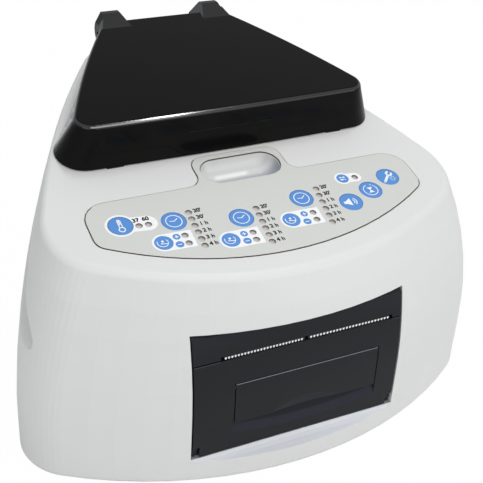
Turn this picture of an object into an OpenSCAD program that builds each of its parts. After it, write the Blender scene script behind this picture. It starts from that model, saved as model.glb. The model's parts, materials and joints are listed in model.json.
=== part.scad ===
// Bench-top reader-incubator for sterilisation indicator vials, with a sloped key
// panel, a dark hinged lid over a dry heating block, and a built-in strip printer.
// Right-handed frame, millimetres: X to the right, Y to the back, Z up, the origin
// on the bench under the middle of the footprint.

/* [Body] */
// Height of the rubber feet below the body (mm)
foot_h = 2; // [1.6:0.1:2.6]
// Half of the body's greatest width (mm)
half_w = 115.5; // [113.5:0.5:117.5]
// Front tip of the base outline along Y (mm)
front_y = -101.4; // [-102.4:0.2:-101]
// Radius of the long front arc in plan (mm)
front_r = 185; // [180:1:190]
// Radius of the front corners in plan (mm)
corner_r = 26.5; // [25:0.5:28]
// Radius of the long side arcs in plan (mm)
side_r = 366; // [340:2:400]
// Radius of the rear corners at the bottom (mm)
tail_r = 36; // [34:0.5:37]
// Shrink of the rear corner radius at full height (mm)
tail_taper = 18.4; // [16:0.2:20]
// Radius of the rear arc in plan (mm)
rear_r = 150; // [145:1:155]
// Height where the front wall starts to lean back (mm)
front_knee = 37; // [36:0.5:38]
// Radius of the front wall's lean in section (mm)
front_curve = 150; // [145:1:155]
// Height where the side walls start to lean in (mm)
side_knee = 20.5; // [18:0.5:23]
// Radius of the side walls' lean in section (mm)
side_curve = 242; // [230:1:255]
// Wall thickness of the housing (mm)
wall = 3; // [2.6:0.1:3.2]
// Deck height at Y = 0 (mm)
deck_z0 = 122.19; // [122:0.05:122.5]
// Soft radius along the deck's edge (mm)
deck_soft = 2.2; // [1.6:0.1:2.6]

/* [Panel] */
// Overlay thickness (mm)
overlay_t = 0.5; // [0.4:0.05:0.55]
// Half width of the overlay (mm)
overlay_half = 80; // [79:0.2:80.6]
// Radius of each round key (mm)
key_r = 5.4; // [5.2:0.05:5.45]
// Travel of each key (mm)
key_travel = 0.4; // [0.3:0.05:0.5]
// Radius of each lamp window (mm)
lamp_r = 1.55; // [1.4:0.05:1.65]
// Half length of the finger scoop's straight part (mm)
scoop_half = 11.5; // [10.5:0.5:12]
// Radius of the finger scoop's mouth (mm)
scoop_r = 8; // [7.6:0.1:8.2]

/* [Lid] */
// Lid wall thickness (mm)
lid_wall = 2.2; // [1.8:0.1:2.6]
// Gap under the lid's rim (mm)
lid_gap = 0.6; // [0.45:0.05:0.7]
// Height of the lid's top at its front edge (mm)
lid_front_z = 141.2; // [140.6:0.1:142]
// Radius of the lid's hinge pin (mm)
hinge_pin_r = 1.75; // [1.5:0.05:2]

/* [Wells] */
// Bore radius of each vial well (mm)
well_r = 4.3; // [4.1:0.05:4.4]
// Depth of each vial well (mm)
well_depth = 28; // [24:0.5:29]
// Spacing of the wells inside a group (mm)
well_pitch = 10.4; // [10:0.1:10.6]
// Spacing of the well groups (mm)
group_pitch = 21.6; // [21.2:0.1:22]

/* [Printer] */
// Half width of the printer window (mm)
window_half = 52; // [51.8:0.1:52.4]
// Height of the window's top edge (mm)
window_top = 79.4; // [79.2:0.1:80]
// Radius of the platen roller (mm)
platen_r = 5; // [4.6:0.1:5.1]
// Outer radius of the paper roll (mm)
paper_r = 17; // [14:0.5:17.5]
// Paper width (mm)
paper_w = 79.5; // [78:0.1:79.6]
// Tooth module of the printer's gears (mm)
gear_m = 0.7; // [0.69:0.01:0.71]

/* [Hidden] */
$fn = 48;
eps = 0.01;
fit = 0.05;

// Deck plane: rises towards the back
deck_rise = 0.2406;
deck_a = atan(deck_rise);
function deck_z(y) = deck_z0 + deck_rise * y;

// Body plan, rear corner centre
tail_x = 28.6;
tail_y = 61.7;
base_round = 3.3;
base_cut_a = 59;
base_t = 2.4;

// Steps around each half outline: front arc, corner, side, rear corner, rear arc
seg = [9, 12, 10, 8, 4];
steps = [for (k = [0:4]) for (j = [0:seg[k] - 1]) [k, j / seg[k]], [4, 1]];

function lean(h, knee, r) = h <= knee ? 0 : r - sqrt(r * r - pow(h - knee, 2));
function body_at(h) = [
    front_y + lean(h, front_knee, front_curve), front_r,
    half_w - lean(h, side_knee, side_curve), corner_r,
    tail_x, tail_y, tail_r - tail_taper * pow(h / 136, 2), side_r, rear_r
];
// Five tangent arcs [centre, radius, start angle, end angle] of a half outline
function arcs(P) =
    let (
        F = [0, P[0] + P[1]],
        cx = P[2] - P[3],
        C = [cx, F[1] - sqrt(pow(P[1] - P[3], 2) - cx * cx)],
        T = [P[4], P[5]],
        B = [0, T[1] - sqrt(pow(P[8] - P[6], 2) - T[0] * T[0])],
        p = P[7] - P[3],
        q = P[7] - P[6],
        D = norm(T - C),
        u = (T - C) / D,
        a = (p * p - q * q + D * D) / (2 * D),
        S = C + a * u + sqrt(p * p - a * a) * [-u[1], u[0]],
        a1 = atan2(C[1] - F[1], C[0] - F[0]),
        a2 = atan2(C[1] - S[1], C[0] - S[0]),
        a3 = atan2(T[1] - S[1], T[0] - S[0]),
        a4 = atan2(T[1] - B[1], T[0] - B[0])
    )
    [[F, P[1], -90, a1], [C, P[3], a1, a2], [S, P[7], a2, a3],
     [T, P[6], a3, a4], [B, P[8], a4, 90]];
// One outline point, set in from the outline by d
function rim(A, st, d) =
    let (a = A[st[0]], t = a[2] + st[1] * (a[3] - a[2]))
    a[0] + (a[1] - d) * [cos(t), sin(t)];
function both_sides(pts) =
    concat(pts, [for (i = [len(pts) - 2:-1:1]) [-pts[i][0], pts[i][1], pts[i][2]]]);
// Height where the wall at one step meets the plane that lies drop below the deck
function climb(st, d, drop, h, n) =
    n == 0 ? h
           : climb(st, d, drop,
                   deck_z(rim(arcs(body_at(h)), st, d)[1]) - foot_h - drop, n - 1);
function level_ring(d, h) =
    both_sides([for (st = steps)
        let (p = rim(arcs(body_at(h)), st, d)) [p[0], p[1], h + foot_h]]);
function wall_ring(d, drop, f, h0) =
    both_sides([for (st = steps)
        let (
            top = climb(st, d, drop, 110, 5),
            h = h0 + f * (top - h0),
            p = rim(arcs(body_at(h)), st, d)
        )
        [p[0], p[1], f == 1 ? deck_z(p[1]) - drop : h + foot_h]]);

// Lid outlines [front y, front r, half width, corner r, rear x, rear y, rear r, ...]
lid_foot = [-11, 3000, 79.9, 12.9, 29.6, 66.5, 4.5, 1090, 3000];
lid_crown = [-11.6, 3000, 72.3, 7.9, 30, 70.9, 4, 480, 3000];
lid_rise = 0.169;
lid_soft = 2;
function lid_z(y) = lid_front_z + lid_rise * (y + 11.6);
function lid_ring(d, s, low, high) =
    both_sides([for (st = steps)
        let (
            b = rim(arcs(lid_foot), st, d),
            t = rim(arcs(lid_crown), st, d),
            zb = deck_z(b[1]) + low,
            zt = lid_z(t[1]) - high
        )
        [b[0] + s * (t[0] - b[0]), b[1] + s * (t[1] - b[1]), zb + s * (zt - zb)]]);

// Hinge line of the lid
hinge_y = 78.4;
hinge_z = 149;
barrel_r = 3;
barrel_half = 17.2;
hump_r = 6;

// Panel layout in deck coordinates (x, t), t up the slope
keys = [
    ["key_heat", -66.3, -46.7], ["key_timer_a", -43.3, -49.9],
    ["key_timer_b", -13.8, -55.5], ["key_timer_c", 18.3, -50.8],
    ["key_sound", 39.9, -58.9], ["key_cycle", 53.1, -53.9],
    ["key_setup", 65.9, -47.7]
];
lamp_rows = [
    [-35.1, -46.4, -0.16, -4.14], [-4.9, -51.6, -0.36, -4.2], [27.9, -46.7, -0.56, -4.36]
];
lamp_pairs = [
    [-41.9, -59.2], [-41.9, -63.9], [-12.6, -65.2], [-12.9, -69.6],
    [19.2, -60.7], [18.9, -65.2], [-58.7, -48.7], [-54.5, -48.9], [49.9, -44]
];
lamps = concat(
    [for (r = lamp_rows) for (k = [0:5]) [r[0] + k * r[2], r[1] + k * r[3]]],
    lamp_pairs
);
// Ring round the well frame: half width, thickness, front and back
ring_x = 41.8;
ring_t = 1.6;
ring_y0 = 4;
ring_y1 = 57.8;
// Lamp lens: height of its dome's top and the dome's radius
lens_top = -0.7;
lens_r = 7;
key_gap = 0.15;
key_proud = 0.14;
scoop_t = -24.1;
scoop_lift = 0.5;
scoop_ball = sqrt(scoop_r * scoop_r + scoop_lift * scoop_lift);
panel_top_t = -31.3;
panel_low_t = -79.6;
panel_low_r = 147;
panel_corner = 11;
panel_foot_r = 7;
neck_half = 22.3;
neck_fillet = 6.5;
neck_top_t = -12.9;
neck_r = 6.5;
film_proud = 0.1;
film_seat = 0.03;
deck_t = 2.6;
board_n = -8.6;
board_t = 1.6;

// Wells and block, upright so the vials stand level
block_y = 31;
block_hx = 34;
block_hy = 19;
block_top = 118;
block_low = 84;
row_pitch = 18;
bar_gap = 0.02;
port_r = 1.4;
wells = [for (g = [-1:1]) for (s = [-0.5, 0.5]) for (r = [-0.5, 0.5])
    [g * group_pitch + s * well_pitch, block_y + r * row_pitch]];
pocket_hx = 38;
pocket_y0 = 8;
pocket_y1 = 54;
sleeve_t = 3.4;

// Printer section, side view coordinates (y, z)
face_y = -93.9;
face_knee = 39;
face_r = 150;
face_cy = face_y + face_r;
sill_z = 13.3;
split_z = 65.3;
band_top = window_top - 2.5;
door_low = 15.8;
door_hx = window_half - 0.8;
door_y = -90.5;
door_z = 18.8;
platen_y = -84;
platen_z = 57.5;
roll_y = -62.5;
roll_z = 36.5;
paper_cx = 4;
paper_x0 = paper_cx - paper_w / 2;
paper_x1 = paper_cx + paper_w / 2;
paper_room = 1.65;
mech_x0 = paper_x0 - paper_room;
mech_x1 = paper_x1 + paper_room;
plate_t = 2.2;
frame_wall = 2;
// Outer walls of the frame: at the window's sides, or further out for a wide paper
window_side = window_half - 1.4;
frame_hx = max(window_side, mech_x1 + plate_t + 1 + frame_wall);
function bow(x) = front_r - sqrt(front_r * front_r - x * x);
frame_y0 = -84 + bow(frame_hx) - bow(window_side);
frame_y1 = -40;
ear_x = window_half - 2.1;
knuckle_x = ear_x - 5.9;
teeth_platen = 14;
teeth_idler = 20;
teeth_pinion = 12;
door_r = norm([platen_y - door_y, platen_z - door_z]);
aim = [platen_z - door_z, -(platen_y - door_y)] / door_r;
aim_a = atan2(aim[1], aim[0]);
idler_c = [platen_y, platen_z] + gear_m * (teeth_platen + teeth_idler) / 2 * aim;
pinion_a = 48;
pinion_c = idler_c
    + gear_m * (teeth_idler + teeth_pinion) / 2 * [cos(pinion_a), sin(pinion_a)];
// Tooth angle of a gear in mesh with one whose tooth stands at ph, seen at angle a
function meshed(a, ph, n1, n2) =
    let (gap = (ph - a) % (360 / n1)) a + 180 - gap * n1 / n2 + 180 / n2;
platen_ph = aim_a;
idler_ph = meshed(aim_a, platen_ph, teeth_platen, teeth_idler);
pinion_ph = meshed(pinion_a, idler_ph, teeth_idler, teeth_pinion);
bar_spans = [[mech_x0 + 0.3, paper_cx - 3.1], [paper_cx - 0.1, mech_x1 - 0.3]];
bar_teeth = 25;
bar_root = 0.6;
bar_tip = -0.25;
bar_top = 0.95;
gear_x1 = mech_x0 - plate_t - 0.8;
gear_x0 = gear_x1 - 4.2;
shaft_x0 = gear_x0 - 1.8;
lever_x0 = paper_cx - 35.6;
lever_x1 = paper_cx + 36.1;
lever_low = 30.2;
lever_top = 51.5;
lever_t = 2.3;
ledge_r = 540;
ledge_a = 19.4;
ledge_z = 21.5;
hollow_r = 160;
hollow_a = 11;
hollow_in = 1;
lever_y = -91.9;
lever_z = 49.4;
pin_r = 1;

function face_at(z) = z < face_knee ? face_y : face_cy - sqrt(face_r * face_r - pow(z - face_knee, 2));

bar_y = face_at(split_z + 0.5);

module bx(x, y, z) {
    translate([x[0], y[0], z[0]])
        cube([x[1] - x[0], y[1] - y[0], z[1] - z[0]]);
}
module rod_x(c, r, x0, x1) {
    translate([x0, c[0], c[1]])
        rotate([0, 90, 0])
            cylinder(h = x1 - x0, r = r);
}
module rod_z(c, r, z0, z1) {
    translate([c[0], c[1], z0])
        cylinder(h = z1 - z0, r = r);
}
module side_profile(x0, x1) {
    translate([x0, 0, 0])
        rotate([90, 0, 90])
            linear_extrude(x1 - x0)
                children();
}
module on_deck() {
    translate([0, 0, deck_z0])
        rotate([deck_a, 0, 0])
            children();
}
module skin(rings) {
    n = len(rings[0]);
    m = len(rings);
    polyhedron(
        points = [for (r = rings) each r],
        faces = concat(
            [[for (i = [0:n - 1]) i]],
            [for (k = [0:m - 2]) for (i = [0:n - 1])
                [k * n + i, (k + 1) * n + i, (k + 1) * n + (i + 1) % n]],
            [for (k = [0:m - 2]) for (i = [0:n - 1])
                [k * n + i, (k + 1) * n + (i + 1) % n, k * n + (i + 1) % n]],
            [[for (i = [n - 1:-1:0]) (m - 1) * n + i]]
        )
    );
}

// Outer form of the housing
module body_solid() {
    skin(concat(
        [for (a = [base_cut_a, 38, 18])
            level_ring(base_round * (1 - cos(a)), base_round * (sin(base_cut_a) - sin(a)))],
        [for (f = [0:8]) wall_ring(0, deck_soft, f / 8, base_round * sin(base_cut_a))],
        [for (a = [18:18:90])
            wall_ring(deck_soft * (1 - cos(a)), deck_soft * (1 - sin(a)), 1, 10)]
    ));
}
module body_hollow() {
    skin(concat(
        [level_ring(wall, -1)],
        [for (f = [0:6]) wall_ring(wall, deck_t / cos(deck_a), f / 6, 3)]
    ));
}
// Slab with the printer's side profile, from the face to t behind it
module face_slab(x0, x1, z0, z1, t, back = 0) {
    intersection() {
        bx([x0, x1], [face_y - 1, face_y + 18], [z0, z1]);
        union() {
            bx([x0, x1], [face_y + back, face_y + t], [face_knee - 60, face_knee]);
            difference() {
                rod_x([face_cy, face_knee], face_r - back, x0, x1, $fn = 180);
                rod_x([face_cy, face_knee], face_r - t, x0 - 1, x1 + 1, $fn = 180);
                bx([x0 - 1, x1 + 1], [face_y - 1, face_cy + face_r],
                   [face_knee - face_r, face_knee - eps]);
            }
        }
    }
}

// Side hand grip: a long shallow hollow that climbs towards the back
grip_at = [half_w - 8.1, -22.9, 83];
grip_half = [12.5, 41, 9];
grip_turn = [25, 0, 13.2];
module grip_tool(extra) {
    h = [for (g = grip_half) g + extra];
    for (s = [-1, 1])
        scale([s, 1, 1])
            translate(grip_at)
                rotate([0, 0, grip_turn[2]])
                    rotate([grip_turn[0], 0, 0])
                        skin([for (k = [0:12]) let (a = 5 + k * 170 / 12)
                            [for (j = [0:23]) let (b = -j * 15)
                                [h[0] * sin(a) * cos(b), -h[1] * cos(a),
                                 h[2] * sin(a) * sin(b)]]]);
}
module scoop_tool(extra) {
    on_deck()
        translate([0, scoop_t, scoop_lift]) {
            rotate([0, 90, 0])
                cylinder(h = 2 * scoop_half, r = scoop_ball + extra, center = true);
            for (s = [-1, 1])
                translate([s * scoop_half, 0, 0])
                    sphere(r = scoop_ball + extra);
        }
}

// Overlay outline, set in by d
module panel_shape(d) {
    bc = [0, panel_low_t + panel_low_r];
    cb = [overlay_half - panel_foot_r,
          bc[1] - sqrt(pow(panel_low_r - panel_foot_r, 2) - pow(overlay_half - panel_foot_r, 2))];
    a1 = atan2(cb[1] - bc[1], cb[0]);
    ct = [overlay_half - panel_corner, panel_top_t - panel_corner];
    nf = [neck_half + neck_fillet, panel_top_t + neck_fillet];
    right = concat(
        [for (k = [0:9]) let (a = -90 + k * (a1 + 90) / 10)
            bc + (panel_low_r - d) * [cos(a), sin(a)]],
        [for (k = [0:5]) let (a = a1 + k * (0 - a1) / 5)
            cb + (panel_foot_r - d) * [cos(a), sin(a)]],
        [for (k = [0:6]) let (a = k * 15)
            ct + (panel_corner - d) * [cos(a), sin(a)]],
        [for (k = [0:6]) let (a = 270 - k * 15)
            nf + (neck_fillet + d) * [cos(a), sin(a)]],
        [for (k = [0:5]) let (a = k * 18)
            [neck_half - neck_r, neck_top_t - neck_r] + (neck_r - d) * [cos(a), sin(a)]]
    );
    polygon(concat(right, [for (i = [len(right) - 1:-1:1]) [-right[i][0], right[i][1]]]));
}
module stadium(h, r) {
    square([2 * h, 2 * r], center = true);
    for (s = [-1, 1])
        translate([s * h, 0])
            circle(r = r);
}

boss_x = half_w - 11;
boss_y = -46;
boss_at = [[-boss_x, boss_y], [boss_x, boss_y], [-57, 72], [57, 72]];

module upper_housing() {
    color([0.88, 0.88, 0.87])
    difference() {
        union() {
            difference() {
                body_solid();
                difference() {
                    body_hollow();
                    grip_tool(2.4);
                    scoop_tool(2);
                    bx([-window_half - 2.4, window_half + 2.4], [-110, -87.5],
                       [sill_z - 2.4, window_top + 2.4]);
                    for (b = boss_at)
                        rod_z(b, 6, foot_h + base_t + 0.2, 30);
                    for (s = [-1, 1])
                        bx([s * (boss_x + 5.5) - 5, s * (boss_x + 5.5) + 5],
                           [boss_y - 1.5, boss_y + 1.5], [foot_h + base_t + 0.2, 30]);
                    for (s = [-1, 1])
                        bx([s * 60 - 3, s * 60 + 3], [-87, 20], [110, 140]);
                }
            }
        }
        grip_tool(0);
        scoop_tool(0);
        // Printer window with its dished sill
        side_profile(-window_half, window_half)
            polygon([
                [-112, sill_z], [-100.6, sill_z], [-97.4, sill_z + 0.45],
                [-95.4, sill_z + 1.05], [face_y + 0.2, sill_z + 1.9],
                [face_y + 0.4, sill_z + 0.6], [-80, sill_z + 0.6],
                [-80, window_top], [-112, window_top]
            ]);
        // Seat of the overlay, its keys and its lamps
        on_deck() {
            translate([0, 0, film_proud - overlay_t - film_seat])
                linear_extrude(4)
                    panel_shape(-0.3);
            for (k = keys)
                translate([k[1], k[2], -6])
                    cylinder(h = 8, r = key_r + 0.35);
            for (l = lamps)
                translate([l[0], l[1], -6])
                    cylinder(h = 8, r = lamp_r + 0.15, $fn = 24);
        }
        // Opening over the wells
        bx([-pocket_hx, pocket_hx], [pocket_y0, pocket_y1], [100, 150]);
        // Screw holes under the corner bosses and the rear sockets
        for (b = boss_at)
            rod_z(b, 1.25, foot_h - 1, 32);
        bx([-30.4, -19.6], [88, 110], [17.6, 28.4]);
        bx([19.6, 33.4], [88, 110], [18.8, 27.2]);
    }
}
module base_plate() {
    color([0.8, 0.8, 0.79])
    difference() {
        union() {
            intersection() {
                skin([level_ring(wall + 0.35, 0), level_ring(wall + 0.35, base_t)]);
                bx([-130, 130], [-110, 110], [0, 20]);
            }
            for (x = [-46, 46])
                for (y = [-80, -46])
                    rod_z([x, y], 4, foot_h + base_t - eps, 13.9);
            for (x = [-38, 38])
                for (y = [12, 50])
                    rod_z([x, y], 4.5, foot_h + base_t - eps, 40);
            for (x = [-56, 56])
                for (y = [-26, 56])
                    rod_z([x, y], 3, foot_h + base_t - eps, 10);
        }
        for (b = boss_at) {
            rod_z(b, 1.7, 0, 10);
            rod_z(b, 3.3, 0, foot_h + 1.2);
        }
        for (f = feet_at)
            rod_z(f, 2.5, 0, 10);
        // Vent slots
        for (i = [-4:4])
            bx([i * 7 - 1.5, i * 7 + 1.5], [-8, 30], [0, 10]);
        for (x = [-46, 46])
            for (y = [-80, -46])
                rod_z([x, y], 1.6, 0, 20);
        for (x = [-38, 38])
            for (y = [12, 50])
                rod_z([x, y], 1.2, 28, 41);
    }
}
feet_at = [[-88, -60], [88, -60], [-36, 82], [36, 82]];
module rubber_feet() {
    color([0.12, 0.12, 0.12])
    for (f = feet_at) {
        rod_z(f, 7, 0, foot_h - eps);
        rod_z(f, 2.45, 1, foot_h + base_t - 0.1);
    }
}
module base_screws() {
    color([0.7, 0.7, 0.72])
    for (b = boss_at)
        difference() {
            union() {
                rod_z(b, 3, foot_h - 0.6, foot_h + 1.15);
                rod_z(b, 1.2, foot_h + 1, 24);
            }
            rod_z(b, 1.2, 0, foot_h + 0.4, $fn = 6);
        }
}
module key_overlay() {
    color([0.84, 0.85, 0.83])
    on_deck()
        translate([0, 0, film_proud - overlay_t])
            linear_extrude(overlay_t)
                difference() {
                    panel_shape(0);
                    translate([0, scoop_t])
                        stadium(scoop_half, scoop_r + 0.1);
                    for (k = keys)
                        translate([k[1], k[2]])
                            circle(r = key_r + key_gap);
                    for (l = lamps)
                        translate([l[0], l[1]])
                            circle(r = lamp_r, $fn = 24);
                }
}
module lamp_lenses() {
    color([0.85, 0.85, 0.83])
    on_deck()
        for (l = lamps)
            translate([l[0], l[1], 0])
                intersection() {
                    translate([0, 0, lens_top - lens_r])
                        sphere(r = lens_r, $fn = 96);
                    translate([0, 0, board_n + board_t + 0.01])
                        cylinder(h = 10, r = lamp_r - 0.05, $fn = 24);
                }
}
module keypad_board() {
    color([0.1, 0.35, 0.2])
    on_deck()
        intersection() {
            translate([0, 0, board_n])
                linear_extrude(board_t)
                    panel_shape(3);
            translate([-90, -90, board_n - 1])
                cube([180, 90 + panel_top_t - 4, 10]);
        }
}
module key_switches() {
    color([0.2, 0.2, 0.2])
    on_deck()
        for (k = keys)
            translate([k[1], k[2], board_n + board_t + 0.01]) {
                translate([-3, -3, 0])
                    cube([6, 6, 2.4]);
                cylinder(h = 3.2, r = 1.7);
            }
}
module key_cap(i) {
    top = key_proud;
    foot = board_n + board_t + 3.25 + key_travel;
    color([0.3, 0.55, 0.85])
    on_deck()
        translate([keys[i][1], keys[i][2], 0])
            difference() {
                union() {
                    translate([0, 0, -2.2])
                        cylinder(h = 2.2 + top, r = key_r);
                    translate([0, 0, foot])
                        cylinder(h = -foot - 2, r = 1.6);
                }
                translate([0, 0, top - 0.1])
                    difference() {
                        cylinder(h = 1, r = key_r + 1);
                        translate([0, 0, -1])
                            cylinder(h = 1.2, r1 = key_r + 0.9, r2 = key_r - 0.3);
                    }
            }
}
module well_frame() {
    color([0.2, 0.2, 0.22])
    difference() {
        union() {
            bx([-pocket_hx + 0.3, pocket_hx - 0.3], [pocket_y0 + 0.3, pocket_y1 - 0.3],
               [block_top - 3, 140]);
            on_deck()
                translate([-pocket_hx - 1.5, (pocket_y0 - 1.5) / cos(deck_a), 0.02])
                    cube([2 * pocket_hx + 3, (pocket_y1 - pocket_y0 + 3) / cos(deck_a), 1.2]);
        }
        bx([-pocket_hx + 2, pocket_hx - 2], [pocket_y0 + 2, pocket_y1 - 2],
           [block_top + 0.4, 160]);
        bx([-block_hx - 0.3, block_hx + 0.3],
           [block_y - block_hy - 0.3, block_y + block_hy + 0.3], [90, 130]);
        on_deck()
            translate([-80, -20, 1.22])
                cube([160, 120, 40]);
    }
}
// One bar of the block; the bars part through the axes of the bores
module block_bar(y0, y1) {
    color([0.78, 0.79, 0.8])
    difference() {
        bx([-block_hx, block_hx], [y0, y1], [block_low, block_top]);
        for (w = wells) {
            rod_z(w, well_r, block_top - well_depth, block_top + 1);
            rod_z(w, port_r, block_low - 1, block_top, $fn = 24);
        }
        translate([0, block_y - block_hy - 1, 92])
            rotate([-90, 0, 0])
                cylinder(h = 6, r = 1.6);
    }
}
module block_front() {
    block_bar(block_y - block_hy, block_y - row_pitch / 2 - bar_gap);
}
module block_middle() {
    block_bar(block_y - row_pitch / 2 + bar_gap, block_y + row_pitch / 2 - bar_gap);
}
module block_rear() {
    block_bar(block_y + row_pitch / 2 + bar_gap, block_y + block_hy);
}
module block_insulation() {
    color([0.93, 0.92, 0.88])
    difference() {
        bx([-block_hx - sleeve_t, block_hx + sleeve_t],
           [block_y - block_hy - sleeve_t, block_y + block_hy + sleeve_t],
           [block_low - 4, block_top - 4]);
        bx([-block_hx - 0.1, block_hx + 0.1],
           [block_y - block_hy - 0.1, block_y + block_hy + 0.1], [70, 120]);
        bx([-9, 21], [block_y - block_hy - 5, block_y - block_hy + 1], [86, 100]);
    }
}
module heater_film() {
    color([0.85, 0.5, 0.15])
    difference() {
        union() {
            bx([-block_hx + 1, block_hx - 1],
               [block_y - block_hy + 1, block_y + block_hy - 1],
               [block_low - 0.5, block_low - eps]);
            bx([-6, 6], [block_y + block_hy - 2, block_y + block_hy + 0.05],
               [block_low - 0.5, block_low - eps]);
        }
        for (w = wells)
            rod_z(w, 2, 80, 90, $fn = 24);
    }
}
module reader_board() {
    color([0.1, 0.35, 0.2])
    bx([-block_hx - 2, block_hx + 2], [block_y - block_hy - 2, block_y + block_hy + 2],
       [77.6, 79.2]);
}
module optics_set() {
    color([0.15, 0.15, 0.16])
    for (w = wells)
        bx([w[0] - 2.2, w[0] + 2.2], [w[1] - 2.2, w[1] + 2.2], [79.21, 83.2]);
}
module block_carrier() {
    color([0.3, 0.3, 0.32])
    difference() {
        union() {
            bx([-43, 43], [7, 55], [72.4, 76]);
            difference() {
                bx([-39.4, 39.4], [6.6, 55.4], [72.4, 84]);
                bx([-37.5, 37.5], [8.5, 53.5], [76, 90]);
            }
            for (x = [-34, 34])
                for (y = [14, 48])
                    rod_z([x, y], 2, 75, 77.59, $fn = 24);
            for (x = [-38, 38])
                for (y = [12, 50])
                    rod_z([x, y], 4.5, 40.05, 73);
            for (s = [-1, 1])
                bx([s * 39.2 - 0.8 - 0.8 * s, s * 39.2 + 0.8 - 0.8 * s], [24, 38], [83, 113]);
        }
        for (x = [-38, 38])
            for (y = [12, 50])
                rod_z([x, y], 1.6, 30, 70);
        for (x = [-38, 38])
            for (y = [12, 50])
                rod_z([x, y], 3.2, 62, 80);
        bx([-20, 20], [20, 42], [70, 80]);
    }
}
module temp_sensor() {
    color([0.75, 0.75, 0.78])
    translate([0, block_y - block_hy - 5, 92])
        rotate([-90, 0, 0]) {
            cylinder(h = 9.5, r = 1.55);
            cylinder(h = 4.5, r = 2.6);
        }
}
module thermal_cutout() {
    color([0.65, 0.62, 0.5])
    bx([6, 18], [block_y - block_hy - 3.6, block_y - block_hy - 0.05], [88, 97]);
}
module main_board() {
    color([0.1, 0.35, 0.2])
    difference() {
        bx([-60, 60], [-30, 60], [10.02, 11.6]);
        for (x = [-38, 38])
            for (y = [12, 50])
                rod_z([x, y], 5, 0, 20);
    }
}
module board_chips() {
    color([0.12, 0.12, 0.13])
    for (c = [[-48, -18, 14, 14, 2], [-20, -20, 10, 18, 2.4], [10, -16, 12, 12, 1.8],
              [28, 20, 18, 9, 12], [-30, 24, 10, 10, 6], [0, 34, 16, 8, 3]])
        bx([c[0], c[0] + c[2]], [c[1], c[1] + c[3]], [11.61, 11.61 + c[4]]);
}
module buzzer() {
    color([0.1, 0.1, 0.1])
    difference() {
        rod_z([47, -16], 6, 11.61, 19);
        rod_z([47, -16], 1, 17, 20);
    }
}
module dc_inlet() {
    color([0.1, 0.1, 0.1])
    difference() {
        bx([-30, -20], [87, 98.6], [18, 28]);
        translate([-25, 90, 23])
            rotate([-90, 0, 0])
                cylinder(h = 12, r = 3.2);
    }
}
module data_socket() {
    color([0.75, 0.75, 0.77])
    difference() {
        bx([20, 33], [87, 98.6], [19.2, 26.8]);
        bx([21, 32], [90, 101], [20.2, 25.8]);
    }
}
module hinge_bracket() {
    color([0.13, 0.13, 0.14])
    difference() {
        union() {
            rod_x([hinge_y, hinge_z], barrel_r, -barrel_half, barrel_half);
            bx([-barrel_half, barrel_half], [hinge_y - 2.6, hinge_y + 1.4],
               [deck_z(hinge_y) - 1, hinge_z]);
        }
        on_deck()
            translate([-50, 40, -20 + 0.02])
                cube([100, 80, 20]);
        rod_x([hinge_y, hinge_z], hinge_pin_r + fit, -40, 40);
    }
}

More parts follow.
